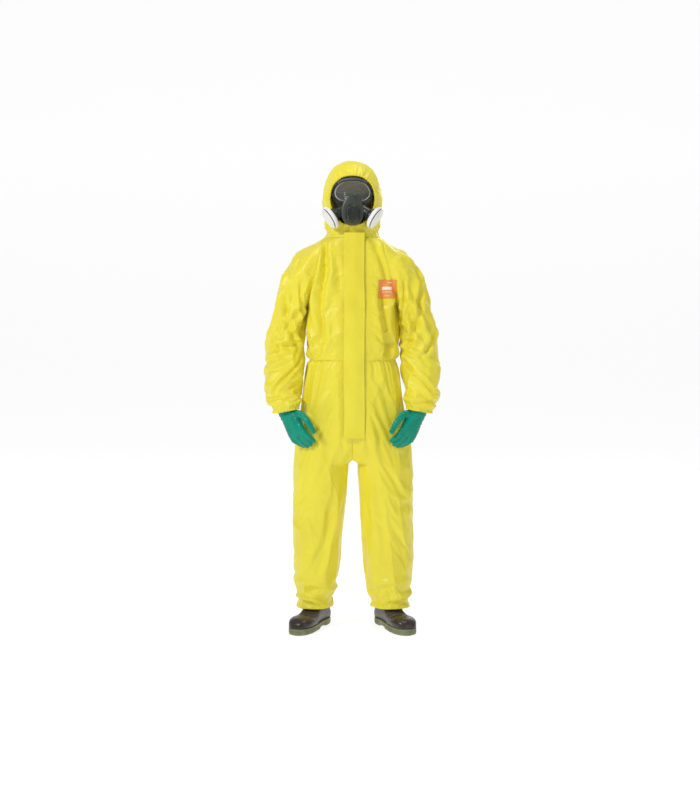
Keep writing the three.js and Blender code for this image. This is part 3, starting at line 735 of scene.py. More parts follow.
def sleeve_folds(along, angle, points, seed):
    """Folds by distance down the sleeve and angle round it, 0 on the outer side and -90 degrees in front."""
    dice = random.Random(seed)
    elbow = 0.345
    cuff = along.max()
    total = np.zeros(len(along))
    for i in range(4):  # the sleeve folds over itself round the elbow
        place = elbow + 0.034 * (i - 1.5) + dice.uniform(-0.009, 0.009)
        facing = dice.uniform(-2.8, -0.2)
        line = place + (0.018 + 0.014 * (i % 2)) * np.sin(angle - facing + dice.uniform(-1, 1))
        span = np.exp(-(wrapped(angle - facing) / dice.uniform(0.7, 1.2)) ** 2)
        fold = bump(along, line, 0.010) - 0.9 * bump(along, line + 0.017, 0.012)
        total += fold * span * dice.uniform(0.007, 0.011)
    for start_angle, end_angle, low, high, depth in SLEEVE_FOLDS:  # the deep ones across the front
        drift = start_angle + (end_angle - start_angle) * np.clip((along - low) / (high - low), 0, 1)
        reach = ease(along, low, low + 0.05) * (1 - ease(along, high - 0.03, high + 0.02))
        near = wrapped(angle - drift)
        fold = 0.8 * bump(near, -0.30, 0.19) + 0.7 * bump(near, 0.30, 0.18) - bump(near, 0, 0.14)
        total += fold * reach * depth
    for i in range(5):  # long folds that run down from the shoulder to the elbow
        facing = -2.9 + 0.72 * i + dice.uniform(-0.15, 0.15)
        drift = facing + (along - 0.2) * dice.uniform(2.0, 5.0)
        reach = ease(along, 0.05, 0.16) * (1 - ease(along, 0.26, 0.35))
        near = wrapped(angle - drift)
        total += (bump(near, 0, 0.17) - 0.9 * bump(near, 0.30, 0.15)) * reach * dice.uniform(0.007, 0.011)
    for i in range(4):  # slanting folds on the forearm
        place = elbow + 0.105 + 0.040 * i + dice.uniform(-0.012, 0.012)
        facing = dice.uniform(-2.9, -0.2)
        line = place + dice.uniform(0.03, 0.06) * np.sin(angle - facing + 1.2)
        span = np.exp(-(wrapped(angle - facing) / 0.9) ** 2)
        fold = bump(along, line, 0.012) - 0.8 * bump(along, line + 0.02, 0.013)
        total += fold * span * dice.uniform(0.006, 0.010)
    for i in range(3):  # the sleeve stacks up above the cuff
        line = cuff - 0.033 - 0.022 * i + 0.010 * np.sin(2 * angle + dice.uniform(0, 6))
        total += bump(along, line, 0.009) * (0.0065 - 0.001 * i) * (0.65 + 0.35 * np.sin(3 * angle + i))
    gathers = np.sin(angle * 26 + 2 * np.sin(angle * 4 + seed)) * np.exp(-(cuff - along) / 0.022) * 0.0022
    drape = crease(soft_noise(points, (0.085, 0.085, 0.12), seed)) * 0.0075
    fine = crease(soft_noise(points, (0.04, 0.04, 0.06), seed + 5)) * 0.0022
    return total * 0.9 + gathers + (drape + fine) * (1 - 0.6 * bump(along, cuff, 0.03))


def make_sleeve(side, seed):
    sign = SIDES[side]
    distance, rows = spaced(SLEEVE, CLOTH_STEP)
    exact = seam_ring(SLEEVE_AROUND) - sleeve_ring(SLEEVE[0], SLEEVE_AROUND)
    rings = []
    for place, row in zip(distance, rows):
        fade = 1 - float(ease(place, 0.0, 0.05))
        rings.append(sleeve_ring(row, SLEEVE_AROUND) + exact * fade)
    points = np.vstack(rings)
    along = np.repeat(distance, SLEEVE_AROUND)
    angle = np.tile(full_turn(SLEEVE_AROUND), len(rings))
    angle = wrapped(angle)
    points[:, 0] *= sign
    points[:, 1] += MIDDLE_Y
    sleeve = add_mesh("sleeve", points, grid_faces(len(rings), SLEEVE_AROUND))
    face_outward(sleeve)
    slope_shoulder(sleeve)
    points = coords(sleeve)
    free = ease(along, 0.0, 0.03)
    push_out(sleeve, sleeve_folds(along, angle, points, seed) * free)
    hold = np.maximum(1 - ease(along, 0.0, 0.02), ease(along, along.max() - 0.02, along.max() - 0.008))
    settle(sleeve, hold)
    add_row_edge(sleeve, SLEEVE_AROUND, len(rings))
    subdivide(sleeve)
    thicken(sleeve)
    upper = keep_faces(sleeve, f"sleeve_upper_{side}", lambda c: c.z >= SLEEVE_SPLIT_Z)
    lower = keep_faces(sleeve, f"sleeve_lower_{side}", lambda c: c.z < SLEEVE_SPLIT_Z)
    bpy.data.objects.remove(sleeve)
    dress(upper, "suit_fabric", nodes=[f"upper_sleeve_{side}"])
    dress(lower, "suit_fabric", nodes=[f"lower_sleeve_{side}", f"cuff_elastic_{side}"])
    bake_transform(upper)
    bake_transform(lower)


def add_row_edge(piece, around, rings):
    """A turned-in hem: one more ring inside the last one."""
    place = coords(piece)
    last = place[(rings - 1) * around: rings * around]
    middle = last.mean(axis=0)
    inside = middle + (last - middle) * 0.955 + (place[(rings - 3) * around:(rings - 2) * around] - last) * 1.0
    with edited(piece) as shape:
        shape.verts.ensure_lookup_table()
        base = (rings - 1) * around
        edge = [shape.verts[base + i] for i in range(around)]
        made = [shape.verts.new(point) for point in inside]
        for i in range(around):
            j = (i + 1) % around
            face = shape.faces.new((edge[i], edge[j], made[j], made[i]))
            face.smooth = True
        bmesh.ops.recalc_face_normals(shape, faces=shape.faces)


# By default a cord takes the gathered_edge fabric, whose darker colour is painted shade of the gathers.
def seam_cord(name, path, radius, body=None, closed=True, slot="gathered_edge", sides=8, pleat=0.0, count=0):
    """A thin rolled seam along a path; radius is one number or one per point, rippled by pleat and count."""
    path = np.asarray(path, float)
    total = len(path)
    radius = np.broadcast_to(radius, total)
    before = np.roll(path, 1, axis=0)
    after = np.roll(path, -1, axis=0)
    if not closed:
        before[0], after[-1] = path[0], path[-1]
    tangent = after - before
    tangent /= np.linalg.norm(tangent, axis=1)[:, None]
    centre = path.mean(axis=0)
    outward = path - centre
    outward -= (outward * tangent).sum(axis=1)[:, None] * tangent
    outward /= np.maximum(np.linalg.norm(outward, axis=1), 1e-9)[:, None]
    side = np.cross(tangent, outward)
    points = []
    for i in range(total):
        size = radius[i] * (1 + pleat * math.sin(2 * math.pi * count * i / total))
        for k in range(sides):
            turn = 2 * math.pi * k / sides
            points.append(path[i] + size * (math.cos(turn) * outward[i] + math.sin(turn) * side[i]))
    faces = grid_faces(total, sides)
    if closed:
        last = (total - 1) * sides
        faces += [(last + k, last + (k + 1) % sides, (k + 1) % sides, k) for k in range(sides)]
    else:
        faces = closed_faces(total, sides)
    piece = face_outward(add_mesh(name, points, faces))
    return dress(piece, slot, body=body)


# ---- Trousers -------------------------------------------------------------------------------------

PELVIS = [  # height, half width, back
    (1.028, 0.161, 0.110), (1.006, 0.172, 0.115), (0.960, 0.183, 0.120), (0.913, 0.191, 0.124),
    (0.850, 0.203, 0.126), (0.780, 0.216, 0.125), (0.735, 0.223, 0.121), (0.700, 0.226, 0.117),
    (0.660, 0.227, 0.110), (0.600, 0.226, 0.100),
]
LEG = [  # height, middle x, half width, middle y, half depth
    (0.720, 0.117, 0.107, -0.008, 0.109), (0.637, 0.1240, 0.1030, -0.009, 0.103), (0.570, 0.128, 0.0995, -0.009, 0.097),
    (0.488, 0.132, 0.0960, -0.008, 0.093), (0.400, 0.135, 0.0925, -0.007, 0.091), (0.255, 0.140, 0.0880, -0.004, 0.088),
    (0.150, 0.1430, 0.0810, 0.000, 0.084), (0.105, 0.145, 0.0760, 0.002, 0.081), (0.075, 0.146, 0.0740, 0.002, 0.081),
]
LEG_AROUND = 144
TROUSER_STEP = 0.0063
LEG_OUTER_SHARE = 0.72
LEG_OUTER_ANGLE = math.radians(130)
CROTCH_SPAN = (0.646, 0.638)
LEG_SPLIT_Z = 0.572
ON_SEAM = 0.0006  # closer to the middle than this is on the crotch seam


def leg_folds(points, angle, seed):
    dice = random.Random(seed)
    z = points[:, 2]
    total = np.zeros(len(z))
    near_waist = np.exp(-np.maximum(WAIST_Z - z, 0) / 0.06)
    front = bump(np.abs(points[:, 0]), 0.0, 0.05) * ease(-(points[:, 1] - MIDDLE_Y), 0.02, 0.09)
    total += np.sin(angle * 30 + 2.2 * np.sin(angle * 5 + seed)) * near_waist * 0.0042
    total += np.sin(angle * 13 + seed) * np.exp(-np.maximum(WAIST_Z - z, 0) / 0.13) * 0.0055
    middle = bump(points[:, 0], 0.0, 0.14) * ease(-(points[:, 1] - MIDDLE_Y), 0.02, 0.09)
    total *= 1 - 0.85 * middle
    for i in range(6):  # long soft folds down the leg
        facing = -2.9 + 1.0 * i + dice.uniform(-0.3, 0.3)
        low = dice.uniform(0.12, 0.45)
        high = low + dice.uniform(0.25, 0.42)
        drift = facing + (z - low) * dice.uniform(-2.4, 2.4)
        near = wrapped(angle - drift)
        reach = ease(z, low - 0.06, low + 0.10) * (1 - ease(z, high - 0.12, high + 0.06))
        total += (bump(near, 0, 0.20) - 0.8 * bump(near, 0.34, 0.18)) * reach * 0.0060
    for i in range(4):  # slack above and behind the knee
        place = 0.49 + 0.045 * (i - 1.5) + dice.uniform(-0.01, 0.01)
        facing = dice.uniform(0.6, 2.6) if i % 2 else dice.uniform(-2.4, -0.6)
        line = place + 0.04 * np.sin(angle - facing + dice.uniform(-1, 1))
        span = np.exp(-(wrapped(angle - facing) / 0.8) ** 2)
        total += (bump(z, line, 0.017) - 0.7 * bump(z, line + 0.030, 0.016)) * span * 0.0032
    for i in range(4):  # the hem breaks over the boot
        place = 0.105 + 0.030 * i + dice.uniform(-0.006, 0.006)
        facing = dice.uniform(-2.6, -0.4) if i % 2 == 0 else dice.uniform(0.2, 2.8)
        line = place + 0.026 * np.sin(angle - facing + 1.0)
        span = np.exp(-(wrapped(angle - facing) / 0.9) ** 2)
        total += (bump(z, line, 0.013) - 0.6 * bump(z, line + 0.022, 0.013)) * span * 0.0042
    drape = crease(soft_noise(points, (0.09, 0.09, 0.30), seed)) * 0.0070
    fine = crease(soft_noise(points, (0.045, 0.045, 0.10), seed + 5)) * 0.0020
    return (total + (drape + fine) * (1 - 0.8 * middle * (1 - ease(WAIST_Z - z, 0.0, 0.09)))) * (1 - front)


def make_trouser(side, seed):
    sign = SIDES[side]
    heights = np.arange(WAIST_SEAM_Z, HEM_Z, -TROUSER_STEP)
    pelvis = np.array(even_rows(PELVIS, 0.003))[::-1]
    leg = np.array(even_rows(LEG, 0.003))[::-1]
    outer = int(LEG_AROUND * LEG_OUTER_SHARE)
    flat = LEG_AROUND - outer
    turns = np.concatenate([np.linspace(-LEG_OUTER_ANGLE, LEG_OUTER_ANGLE, outer, endpoint=False),
                            np.linspace(LEG_OUTER_ANGLE, 2 * math.pi - LEG_OUTER_ANGLE, flat, endpoint=False)])
    inward = np.concatenate([ease(np.abs(np.linspace(-1, 1, outer, endpoint=False)), 0.5, 1.0), np.ones(flat)])
    points = []
    for z in heights:
        width, back = (np.interp(z, pelvis[:, 0], pelvis[:, c]) for c in (1, 2))
        front = float(front_line(z))
        middle, depth = (front + back) / 2, (back - front) / 2
        sweep = np.linspace(-math.pi / 2, math.pi / 2, outer, endpoint=False)
        body_x = np.concatenate([width * bend(np.abs(np.cos(sweep)), 2.3), np.zeros(flat)])
        body_y = np.concatenate([middle + depth * bend(np.sin(sweep), 2.3),
                                 np.linspace(back, front, flat, endpoint=False)])
        cx, a, cy, b = (np.interp(z, leg[:, 0], leg[:, c]) for c in (1, 2, 3, 4))
        leg_x = cx + a * bend(np.cos(turns), 2.15)
        leg_y = cy + b * bend(np.sin(turns), 2.15)
        outer_share = 1 - float(ease(z, 0.620, 0.730))
        inner_share = 1 - float(ease(z, CROTCH_SPAN[1], CROTCH_SPAN[0]))
        share = outer_share + (inner_share - outer_share) * inward
        x = body_x * (1 - share) + leg_x * share
        y = body_y * (1 - outer_share) + leg_y * outer_share
        points += list(zip(x * sign, y + MIDDLE_Y, np.full(LEG_AROUND, z)))
    points = np.array(points)
    angle = wrapped(np.tile(turns, len(heights)))
    half = add_mesh("trouser", points, grid_faces(len(heights), LEG_AROUND))
    face_outward(half)
    with edited(half) as shape:
        inner = [face for face in shape.faces if all(abs(vert.co.x) < ON_SEAM for vert in face.verts)]
        bmesh.ops.delete(shape, geom=inner, context="FACES_ONLY")
    seam = ease(np.abs(points[:, 0]), 0.0, 0.012)
    free = np.where(points[:, 2] > CROTCH_SPAN[0], seam, np.maximum(seam, 0.3))
    push_out(half, leg_folds(points, angle, seed) * free * ease(WAIST_SEAM_Z - points[:, 2], 0.0, 0.008))
    front = bump(np.abs(points[:, 0]), 0.0, 0.05) * ease(-(points[:, 1] - MIDDLE_Y), 0.02, 0.09)
    hold = np.maximum.reduce([1 - free, ease(points[:, 2], 1.018, 1.026), 1 - ease(points[:, 2], 0.078, 0.090),
                              np.where(points[:, 2] > 0.73, front, 0)])
    settle(half, np.clip(hold, 0, 1))
    add_row_edge(half, LEG_AROUND, len(heights))
    subdivide(half)
    with edited(half) as shape:
        loose = [vert for vert in shape.verts if not vert.link_faces]
        bmesh.ops.delete(shape, geom=loose, context="VERTS")
    thicken(half)
    upper = keep_faces(half, f"trouser_top_{side}", lambda c: c.z >= LEG_SPLIT_Z)
    lower = keep_faces(half, f"trouser_leg_{side}", lambda c: c.z < LEG_SPLIT_Z)
    bpy.data.objects.remove(half)
    dress(upper, "suit_fabric", nodes=[f"trouser_{side}"], body="suit")
    dress(lower, "suit_fabric", nodes=[f"lower_leg_{side}", f"ankle_hem_{side}"])
    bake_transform(lower)


# ---- Hood -----------------------------------------------------------------------------------------

HOOD = [  # height, half width, front, back, power
    (1.497, 0.1135, -0.1127, 0.090, 2.1), (1.506, 0.1065, -0.1118, 0.086, 2.1), (1.519, 0.1010, -0.111, 0.084, 2.1),
    (1.552, 0.1050, -0.113, 0.099, 2.15), (1.608, 0.1130, -0.117, 0.121, 2.15), (1.670, 0.1150, -0.118, 0.131, 2.15),
    (1.707, 0.1075, -0.114, 0.130, 2.15), (1.743, 0.0925, -0.098, 0.120, 2.15), (1.769, 0.0760, -0.077, 0.103, 2.1),
    (1.786, 0.0540, -0.053, 0.077, 2.0), (1.796, 0.0300, -0.024, 0.046, 2.0), (1.800, 0.0060, 0.004, 0.016, 2.0),
]
HOOD_FINE = np.array(even_rows(HOOD, 0.002))
FACE_MIDDLE_Z = 1.634
FACE_OUTLINE = [  # angle from straight up, in degrees, and distance from the middle of the face opening
    (0, 0.1015), (24, 0.1030), (48, 0.1000), (74, 0.0915), (105, 0.0865), (132, 0.0880), (154, 0.0950), (170, 0.0970),
    (180, 0.0970),
]
HOOD_SEAM_X = 0.042


def polar_radius(outline, angle):
    """Outline distance at an angle from straight up, the same on both sides."""
    table = np.array(outline)
    return np.interp(np.abs(np.degrees(wrapped(np.asarray(angle)))), table[:, 0], table[:, 1])


def head_front(table, x, z):
    """The front of a lofted head shape at (x, z)."""
    width, front, back, power = (np.interp(z, table[:, 0], table[:, c]) for c in (1, 2, 3, 4))
    share = np.clip(np.abs(x) / width, 0, 1)
    return (front + back) / 2 - (back - front) / 2 * (1 - share**power) ** (1 / power)


def loft(name, table, around, step):
    rows = even_rows(table, step)
    points = []
    for z, width, front, back, power in rows:
        x, y = oval(around, width, (back - front) / 2, power)
        points += list(zip(x, y + (back + front) / 2 + MIDDLE_Y, np.full(around, z)))
    faces = grid_faces(len(rows), around)
    return face_outward(add_mesh(name, points, faces))


def open_face(piece, table, outline, middle_z):
    """Cuts the outline out of the front and draws the cut edge onto it."""
    with edited(piece) as shape:

        def inside(point):
            if point.y > MIDDLE_Y - 0.03:
                return False
            rise = point.z - middle_z
            return math.hypot(point.x, rise) < polar_radius(outline, math.atan2(point.x, rise))

        was_open = {vert for vert in shape.verts if vert.is_boundary}
        gone = [face for face in shape.faces if inside(face.calc_center_median())]
        bmesh.ops.delete(shape, geom=gone, context="FACES")
        for vert in shape.verts:
            if vert.is_boundary and vert not in was_open:
                angle = math.atan2(vert.co.x, vert.co.z - middle_z)
                away = float(polar_radius(outline, angle))
                vert.co.x = away * math.sin(angle)
                vert.co.z = middle_z + away * math.cos(angle)
                vert.co.y = float(head_front(table, vert.co.x, vert.co.z)) + MIDDLE_Y


def hood_folds(points, seed):
    x, y, z = points[:, 0], points[:, 1] - MIDDLE_Y, points[:, 2]
    turn = np.arctan2(x, z - FACE_MIDDLE_Z)
    away = np.hypot(x, z - FACE_MIDDLE_Z) - polar_radius(FACE_OUTLINE, turn)
    front = ease(-y, -0.01, 0.05)
    pleats = np.sin(turn * 52 + 2.4 * np.sin(turn * 7)) * np.exp(-np.abs(away) / 0.015) * 0.0020 * front
    pleats += np.sin(turn * 21 + 2.0 * np.sin(turn * 3)) * np.exp(-np.abs(away) / 0.035) * 0.0017 * front
    angle = np.arctan2(y, x)
    neck = np.sin(angle * 17 + 1.5 * np.sin(angle * 3)) * bump(z, 1.535, 0.026) * 0.003
    neck -= bump(z, 1.522, 0.018) * 0.006
    rings = bump(z, 1.545 + 0.012 * np.sin(angle * 2), 0.010) + bump(z, 1.520 + 0.008 * np.sin(angle * 3), 0.008)
    drape = crease(soft_noise(points, (0.08, 0.08, 0.09), seed)) * 0.0040
    seams = -0.0016 * bump(np.abs(x), HOOD_SEAM_X, 0.0028) + 0.0008 * bump(np.abs(x), HOOD_SEAM_X, 0.009)
    return pleats + neck + rings * 0.0026 + drape + seams * ease(z, 1.60, 1.66)


def make_hood():
    hood = loft("hood", HOOD, 170, 0.0046)
    open_face(hood, HOOD_FINE, FACE_OUTLINE, FACE_MIDDLE_Z)
    with edited(hood) as shape:
        top = [edge for edge in shape.edges if edge.is_boundary and edge.verts[0].co.z > 1.795]
        bmesh.ops.holes_fill(shape, edges=top)
    points = coords(hood)
    edge = edge_distance(hood)
    push_out(hood, hood_folds(points, 21) * ease(points[:, 2], COLLAR_SEAM_Z, 1.507))
    settle(hood, 1 - ease(edge, 0.0, 0.016), growth=-0.015, hold_soft=0.3, gravity=0.0)
    subdivide(hood)
    thicken(hood)
    pieces = {
        "hood_panel_left": (["hood_left"], lambda c: c.x > HOOD_SEAM_X),
        "hood_panel_right": (["hood_right"], lambda c: c.x < -HOOD_SEAM_X),
        "hood_panel_centre": (["hood_centre", "collar"], lambda c: abs(c.x) <= HOOD_SEAM_X),
    }
    for name, (replaced, test) in pieces.items():
        part = dress(keep_faces(hood, name, test), "suit_fabric", nodes=replaced)
        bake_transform(part)
    bpy.data.objects.remove(hood)
    turns = full_turn(240)
    away = polar_radius(FACE_OUTLINE, turns) - 0.002
    x, z = away * np.sin(turns), FACE_MIDDLE_Z + away * np.cos(turns)
    y = head_front(HOOD_FINE, x, z) + MIDDLE_Y
    edge = seam_cord("face_opening_edge", np.column_stack([x, y, z]), 0.0042, pleat=0.22, count=60)
    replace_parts(edge, "face_elastic")
    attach(edge, "head")


# ---- Closure, waist and label ---------------------------------------------------------------------

def make_flap():
    lows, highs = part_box("storm_flap")
    columns = np.linspace(lows[0], highs[0], 25)
    heights = np.linspace(lows[2], highs[2], 190)
    points = []
    for z in heights:
        for x in columns:
            share = (x - lows[0]) / (highs[0] - lows[0])
            stand = 0.0028 + 0.0055 * float(1 - ease(share, 0.45, 1.0)) + 0.0012 * math.sin(math.pi * share)
            wave = 0.0016 * math.sin(z * 37 + 2.5 * share) * share * (1 - share) * 4
            wave += 0.0026 * noise.noise(Vector((x * 22, 3.1, z * 9)))
            ridge = 0.0009 * math.exp(-((x - highs[0] + 0.007) / 0.0018) ** 2)
            ridge += 0.0007 * math.exp(-((x - lows[0] - 0.006) / 0.0018) ** 2)
            y = float(front_line(z)) - stand - wave - 0.002 + ridge + MIDDLE_Y
            points.append((x + 0.0012 * math.sin(z * 17), y, z))
    faces = grid_faces(len(heights), len(columns), closed=False)
    flap = face_outward(add_mesh("front_storm_flap", points, faces))
    modify(flap, "SOLIDIFY", thickness=0.0016, offset=0)
    dress(flap, "suit_fabric", nodes=["storm_flap"], body="flap")


def make_waist_band():
    count = 420
    turns = full_turn(count)
    width, front, back, _ = torso_at(WAIST_SEAM_Z)
    x, y = oval(count, float(width) + 0.0005, float(back - front) / 2 + 0.0005, 2.3)
    ripple = 1 + 0.010 * np.sin(turns * 62 + 2 * np.sin(turns * 9))
    flat = bump(x, 0.005, 0.055) * (y < 0)
    ripple = ripple * (1 - flat) + flat
    middle = float(front + back) / 2 + MIDDLE_Y
    path = np.column_stack([x * ripple, y * ripple + middle, np.full(count, WAIST_SEAM_Z)])
    thin = bump(x, 0.005, 0.16) * (y < 0)
    path[:, 2] += 0.0025 * np.sin(turns * 11)
    band = seam_cord("waist_gather", path, 0.0042 * (1 - 0.92 * thin), body="suit", pleat=0.18, count=84)
    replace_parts(band, "waist_elastic")


PATCH_POINTS = 24
LABEL_BARS = [  # left, right, bottom and top, as shares of the label
    (0.26, 0.74, 0.84, 0.87), (0.16, 0.84, 0.46, 0.63), (0.24, 0.76, 0.33, 0.36), (0.30, 0.62, 0.12, 0.145),
]


def make_label():
    """An orange square with plain bars where a real label has print."""
    low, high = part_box("chest_label")
    trees = []
    for name in ("chest_front_left", "sleeve_upper_left"):
        mesh = bpy.data.objects[name].data
        corners = [vert.co for vert in mesh.vertices]
        trees.append(BVHTree.FromPolygons(corners, [face.vertices[:] for face in mesh.polygons]))

    def front_at(x, z):
        found = [tree.ray_cast(Vector((x, MIDDLE_Y - 0.5, z)), Vector((0, 1, 0)))[0] for tree in trees]
        return min((hit.y for hit in found if hit is not None), default=MIDDLE_Y - 0.11)

    def patch(name, x0, x1, z0, z1, stand, slot, material):
        across, heights = np.linspace(x0, x1, PATCH_POINTS), np.linspace(z0, z1, PATCH_POINTS)
        grid = np.array([[front_at(x, z) for x in across] for z in heights])
        for _ in range(6):  # bridges the creases below it
            padded = np.pad(grid, 1, mode="edge")
            beside = padded[:-2, 1:-1] + padded[2:, 1:-1] + padded[1:-1, :-2] + padded[1:-1, 2:]
            grid = np.minimum(grid, beside / 4)
        points = [(x, grid[r, c] - stand, z) for r, z in enumerate(heights) for c, x in enumerate(across)]
        piece = add_mesh(name, points, grid_faces(PATCH_POINTS, PATCH_POINTS, closed=False))
        modify(piece, "SOLIDIFY", thickness=0.0006, offset=0)
        return dress(piece, slot, material, body="suit")

    x0, x1, z0, z1 = low[0], high[0], low[2], high[2]
    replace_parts(patch("chest_label_square", x0, x1, z0, z1, 0.0012, "label", "label"), "chest_label")
    wide = x1 - x0
    for i, (left, right, bottom, top) in enumerate(LABEL_BARS):
        patch(f"label_bar_{i + 1}", x0 + left * wide, x0 + right * wide, z0 + bottom * wide, z0 + top * wide,
              0.0019, "label", "label_print")


# ---- Respirator -----------------------------------------------------------------------------------

MASK = [  # height, half width, front, back, power
    (1.541, 0.032, -0.112, 0.022, 2.15), (1.560, 0.045, -0.126, 0.036, 2.15), (1.600, 0.060, -0.131, 0.041, 2.15),
    (1.640, 0.075, -0.128, 0.038, 2.15), (1.680, 0.080, -0.118, 0.028, 2.15), (1.706, 0.068, -0.106, 0.016, 2.15),
    (1.727, 0.044, -0.090, 0.000, 2.15),
]
MASK_FINE = np.array(even_rows(MASK, 0.002))
LENS_MIDDLE_Z = 1.670
LENS_OUTLINE = [(0, 0.0440), (24, 0.0475), (45, 0.0560), (69, 0.0665), (91, 0.0740), (107, 0.0725), (124, 0.0650),
                (145, 0.0520), (162, 0.0435), (180, 0.0405)]


def ring_on_mask(grow, stand, count=200):
    turns = full_turn(count)
    away = polar_radius(LENS_OUTLINE, turns) + grow
    away = (away + np.roll(away, 1) + np.roll(away, -1) + np.roll(away, 2) + np.roll(away, -2)) / 5
    x, z = away * np.sin(turns), LENS_MIDDLE_Z + away * np.cos(turns)
    return np.column_stack([x, head_front(MASK_FINE, x, z) - stand + MIDDLE_Y, z])


def make_lens():
    rings = 14
    points = []
    edge = ring_on_mask(0.0, 0.0, 120)
    for r in range(1, rings + 1):
        share = r / rings
        x, z = edge[:, 0] * share, LENS_MIDDLE_Z + (edge[:, 2] - LENS_MIDDLE_Z) * share
        y = head_front(MASK_FINE, x, z) + MIDDLE_Y
        points += list(zip(x, y, z))
    faces = grid_faces(rings, 120)
    points.append((0, float(head_front(MASK_FINE, 0, LENS_MIDDLE_Z)) + MIDDLE_Y, LENS_MIDDLE_Z))
    faces += [(len(points) - 1, (i + 1) % 120, i) for i in range(120)]
    lens = face_outward(add_mesh("visor_lens", points, faces))
    modify(lens, "SOLIDIFY", thickness=0.002)
    dress(lens, "visor", nodes=["lens"], body="head")
    # A thin cord along the lens's edge inside the frame, thickest at both sides and coloured pale: painted highlight
    # for the reflections on the lens.
    path = ring_on_mask(-0.0075, -0.0006)
    share = np.abs(path[:, 0]) / np.abs(path[:, 0]).max()
    edge = seam_cord("visor_bevel", path, 0.0005 + 0.0011 * ease(share, 0.35, 0.95), body="head", slot="visor")
    edge.data.materials[0] = MATERIALS["lens_painted_highlight"]


def make_mask():
    seal = loft("face_seal_skirt", MASK, 150, 0.0034)
    with edited(seal) as shape:
        behind = [face for face in shape.faces if face.calc_center_median().y > MIDDLE_Y - 0.048]
        bmesh.ops.delete(shape, geom=behind, context="FACES")
    open_face(seal, MASK_FINE, LENS_OUTLINE, LENS_MIDDLE_Z)
    points = coords(seal)
    x, z = points[:, 0], points[:, 2]
    cheek = 0.0022 * bump(np.abs(x), 0.048, 0.007) * bump(z, 1.590, 0.035)
    push_out(seal, cheek)
    modify(seal, "SOLIDIFY", thickness=0.0035, offset=-1)
    subdivide(seal)
    dress(seal, "mask_rubber", nodes=["face_seal"], body="head")

    path = ring_on_mask(0.0030, 0.0026)
    frame_ring = seam_cord("visor_frame", path, 0.0050, body="head", slot="black_plastic", sides=14)
    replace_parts(frame_ring, "lens_frame")
    brow = ring_on_mask(0.0035, 0.006)
    top = brow[np.abs(wrapped(full_turn(200))) < math.radians(58)]
    top = top[np.argsort(top[:, 0])]
    seam_cord("visor_brow", top, 0.0055, body="head", closed=False, slot="grey_rubber", sides=12)


def turned(name, profile, centre, axis, around=48, ripple=None):
    """A turned shape: profile is (radius, height) from its outer end; ripple changes the radius by angle."""
    turn = Vector((0, 0, 1)).rotation_difference(Vector(axis).normalized()).to_matrix()
    points = []
    for radius, height in profile:
        for k in range(around):
            angle = 2 * math.pi * k / around
            size = radius * (1 + (ripple(angle, radius, height) if ripple else 0))
            place = Vector((size * math.cos(angle), size * math.sin(angle), height))
            points.append(Vector(centre) + turn @ place)
    piece = add_mesh(name, points, closed_faces(len(profile), around, ends_flipped=True))
    with edited(piece) as shape:
        bmesh.ops.remove_doubles(shape, verts=shape.verts, dist=0.00002)
        bmesh.ops.recalc_face_normals(shape, faces=shape.faces)
    return modify(piece, "EDGE_SPLIT", split_angle=math.radians(50))


SHROUD = [(0, 0.080), (9, 0.079), (18, 0.071), (32, 0.060), (50, 0.051), (75, 0.0440), (100, 0.0420), (125, 0.0415),
          (150, 0.0415), (180, 0.0405)]  # angle from straight up and distance from the cover's middle


def make_cover():
    low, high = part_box("exhalation_valve")
    middle_z = (low[2] + high[2]) / 2
    front, back = MIDDLE_Y - 0.170, MIDDLE_Y - 0.1335
    rows, around = 30, 72
    points = []
    for r in range(rows):
        share = r / (rows - 1)
        size = math.cos(share * math.pi / 2 * 0.86) ** 0.28
        y = back - (back - front) * math.sin(share * math.pi / 2)
        for k in range(around):
            angle = 2 * math.pi * k / around
            x = 0.0268 * size * float(bend(math.cos(angle), 2.3))
            z = 0.0388 * size * float(bend(math.sin(angle), 2.3))
            groove = 0.0014 * math.exp(-((share - 0.62) / 0.03) ** 2)
            slots = 0.0016 * max(0, math.sin(z * 620)) * (1 if share > 0.68 else 0)
            points.append((x * (1 - groove * 12), y + groove + slots, middle_z + z))
    faces = grid_faces(rows, around)
    faces.append(tuple((rows - 1) * around + k for k in range(around)))
    cover = face_outward(add_mesh("exhalation_cover", points, faces))
    modify(cover, "SOLIDIFY", thickness=0.002, offset=-1)
    dress(cover, "black_plastic", nodes=["front_cover"], body="head")

    levels = [(0.93, -0.1325), (1.00, -0.1340), (1.00, -0.1372), (0.96, -0.1392), (0.88, -0.1402), (0.70, -0.1412),
              (0.50, -0.1425), (0.25, -0.1430), (0.02, -0.1430)]
    turns = full_turn(96)
    away = polar_radius(SHROUD, turns)
    for _ in range(3):
        away = (np.roll(away, 1) + 2 * away + np.roll(away, -1)) / 4
    points = []
    for size, y in levels:
        x, z = away * np.sin(turns) * size, middle_z + away * np.cos(turns) * size
        points += list(zip(x, np.full(96, y + MIDDLE_Y), z))
    shroud = face_outward(add_mesh("nose_shroud", points, grid_faces(len(levels), 96)))
    dress(shroud, "black_plastic", "grey_plastic", body="head")


